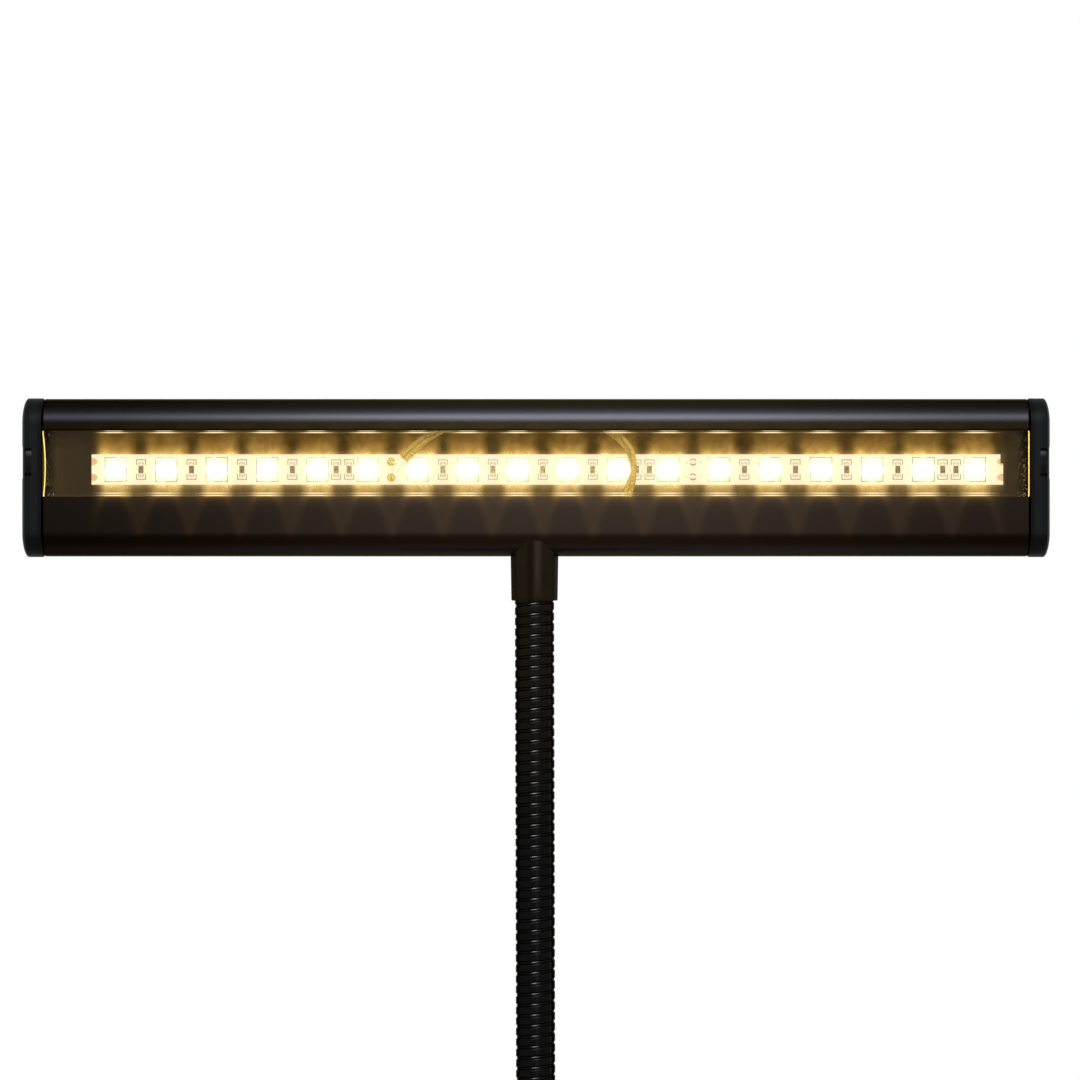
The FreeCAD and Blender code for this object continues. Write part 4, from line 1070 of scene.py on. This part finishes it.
def hex_screw(name, place, turned, rings, drive, deep):
    """A screw's head with a hexagon hole.

    The rings are (radius, height) from the seat outward; the drive is the distance from the axis
    to the hole's flats, whose radius grows as 1 / cos of the angle from a flat's middle, and deep
    is the hole's depth. Turned carries +Z to the direction that the head faces.
    """
    angle = np.radians(np.arange(0, 360, 7.5))
    off = (np.degrees(angle) % 60) - 30
    hexagon = drive / np.cos(np.radians(off))
    top = rings[-1][1]
    rows = [*rings, (hexagon, top), (hexagon, top - deep)]
    grid = np.array([round_about(radius, angle, height) for radius, height in rows])
    return surface(name, grid @ np.array(turned, float) + np.array(place), crease=25)


screw_finish = plated("black_zinc", (0.05, 0.05, 0.055), (0.03, 0.03, 0.033), 0.3)
grub = hex_screw(
    "collar_grub_screw",
    (0, 6.2, 34.5),
    [(1, 0, 0), (0, 0, -1), (0, 1, 0)],
    [(1.5, 0.0), (1.5, 1.75), (1.35, 1.9)],
    0.75,
    1.2,
)
dressed(grub, screw_finish, "zinc_steel", body="base")
for number, (screw_x, screw_y) in enumerate([(-14, -50), (14, -50), (14, 48), (-14, 48)], 1):
    screw = hex_screw(
        f"plate_screw_{number}",
        (screw_x, screw_y, 3.5),
        [(1, 0, 0), (0, -1, 0), (0, 0, -1)],
        [(2.6, 0.0), (2.6, 0.7), (2.1, 1.2)],
        1.0,
        0.8,
    )
    dressed(screw, screw_finish, "zinc_steel", body="base")


# ---------------------------------------------------------------- solids kept as they are

cast = moulded("cast_iron_coat", (0.005, 0.005, 0.005), (0.009, 0.0088, 0.0085), 0.5, 0.05, 0.16)
steel = plated("zinc_plate", (0.62, 0.63, 0.62), (0.45, 0.46, 0.45), 0.32)
nickel = plated("nickel_plate", (0.70, 0.67, 0.60), (0.55, 0.52, 0.46), 0.25)
switch_black = moulded(
    "switch_plastic", (0.006, 0.006, 0.0065), (0.010, 0.010, 0.0105), 0.3, 0.008, 0.3
)
collar_coat = moulded("collar_coat", (0.006, 0.006, 0.006), (0.010, 0.010, 0.010), 0.38, 0.01, 0.3)
foam = moulded("pad_foam", (0.018, 0.018, 0.019), (0.030, 0.030, 0.031), 0.9, 0.2, 0.1)
package = lit_package()
tin = beside_lights(
    "solder",
    (0.09, 0.062, 0.008),
    (0.60, 0.42, 0.11),
    (0.95, 0.80, 0.36),
    0.8,
    ring=(-47.8, 2.6, 0.95),
)
tape = moulded("strip_tape", (0.35, 0.30, 0.20), (0.30, 0.25, 0.16), 0.6)

kept = {
    "lens_cover": clear_cover(),
    "led_strip": strip_board(),
    "strip_adhesive": tape,
    "led_packages": package,
    "led_phosphors": package,
    "solder_joints": tin,
    "socket_nipple": steel,
    "saddle_nut": steel,
    "base_casting": cast,
    "base_plate": steel,
    "base_pad": foam,
    "neck_collar": collar_coat,
    "collar_nut": steel,
    "switch_housing": switch_black,
    "switch_rocker": rocker_finish(),
    "switch_terminals": nickel,
    "inlet_socket": switch_black,
    "inlet_pin": nickel,
    "inlet_nut": steel,
    "inlet_terminals": nickel,
}
for node, finish in kept.items():
    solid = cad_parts[node]
    solid.data.materials.clear()
    solid.data.materials.append(finish.material)


# ---------------------------------------------------------------- studio

FLOOR_HALF, FLOOR_LOW = 60, -0.0006
# The camera stands this far in front and this high; the frame is this wide at the lamp's middle.
CAMERA_AWAY, CAMERA_HIGH, FRAME_WIDE, FRAME_SHIFT = 1.45, 0.2662, 0.3566, 0.00132

floor_mesh = bpy.data.meshes.new("floor")
floor_corners = [
    (x * FLOOR_HALF, y * FLOOR_HALF, FLOOR_LOW) for x, y in ((-1, -1), (1, -1), (1, 1), (-1, 1))
]
floor_mesh.from_pydata(floor_corners, [], [(0, 1, 2, 3)])
floor = bpy.data.objects.new("floor", floor_mesh)
bpy.context.scene.collection.objects.link(floor)


def rays_seen(nodes):
    """1 for rays that show the background: from the camera, a mirror or a clear piece."""
    camera, mirror, clear = (
        nodes.node("ShaderNodeLightPath", output=f"Is {kind} Ray")
        for kind in ("Camera", "Glossy", "Transmission")
    )
    return camera.most(mirror).most(clear)


paper = Finish("studio_paper", Roughness=0.9)
paper.set(base_color=(0.90, 0.885, 0.85), specular_ior_level=0.0)
ground = paper.node("ShaderNodeVectorMath", {"operation": "LENGTH"}, {0: paper.mm}, "Value")
mirrored = paper.node("ShaderNodeLightPath", output="Is Glossy Ray")
share = rays_seen(paper) * (0.3 + 0.7 * ground.above(570, 260)).most(mirrored)
white = paper.node("ShaderNodeEmission", inputs={"Strength": 1.0})
shown = paper.node("ShaderNodeMixShader", inputs={0: share, 1: paper.shader, 2: white})
paper.feed(paper.out.inputs[0], shown)
floor_mesh.materials.append(paper.material)

world = bpy.data.worlds.new("studio")
bpy.context.scene.world = world
world.use_nodes = True
air = Nodes(world.node_tree)
strength = 0.22 + 0.78 * rays_seen(air)
sky = air.node("ShaderNodeBackground", inputs={"Color": (1.0, 1.0, 1.0), "Strength": strength})
air.node("ShaderNodeOutputWorld", inputs={0: sky}, output=None)


def softbox(name, place, aim, wide, high, power, colour=(1, 1, 1)):
    """An area light at a place, turned to its aim."""
    lamp = bpy.data.lights.new(name, "AREA")
    lamp.shape = "RECTANGLE"
    lamp.size, lamp.size_y = wide, high
    lamp.energy = power
    lamp.color = colour
    holder = bpy.data.objects.new(name, lamp)
    bpy.context.scene.collection.objects.link(holder)
    holder.location = place
    holder.rotation_euler = (Vector(aim) - Vector(place)).to_track_quat("-Z", "Y").to_euler()


softbox("front_high", (0.1, -1.45, 1.095), (0, 0, 0.28), 1.5, 0.60, 44, (0.84, 0.88, 1.0))
for light_name, light_x in (("side_left", -1.6), ("side_right", 1.6)):
    softbox(light_name, (light_x, -0.8, 0.8), (0, 0, 0.2), 0.8, 1.2, 1.5)

camera = bpy.data.cameras.new("camera")
camera.sensor_width = 36
camera.lens = camera.sensor_width * CAMERA_AWAY / FRAME_WIDE
camera.shift_x = FRAME_SHIFT / FRAME_WIDE
camera.clip_start, camera.clip_end = 0.05, 50
view = bpy.data.objects.new("camera", camera)
bpy.context.scene.collection.objects.link(view)
view.location = (0, -CAMERA_AWAY, CAMERA_HIGH)
view.rotation_euler = (math.radians(90), 0, 0)
bpy.context.scene.camera = view
bpy.context.scene.view_settings.view_transform = "Standard"
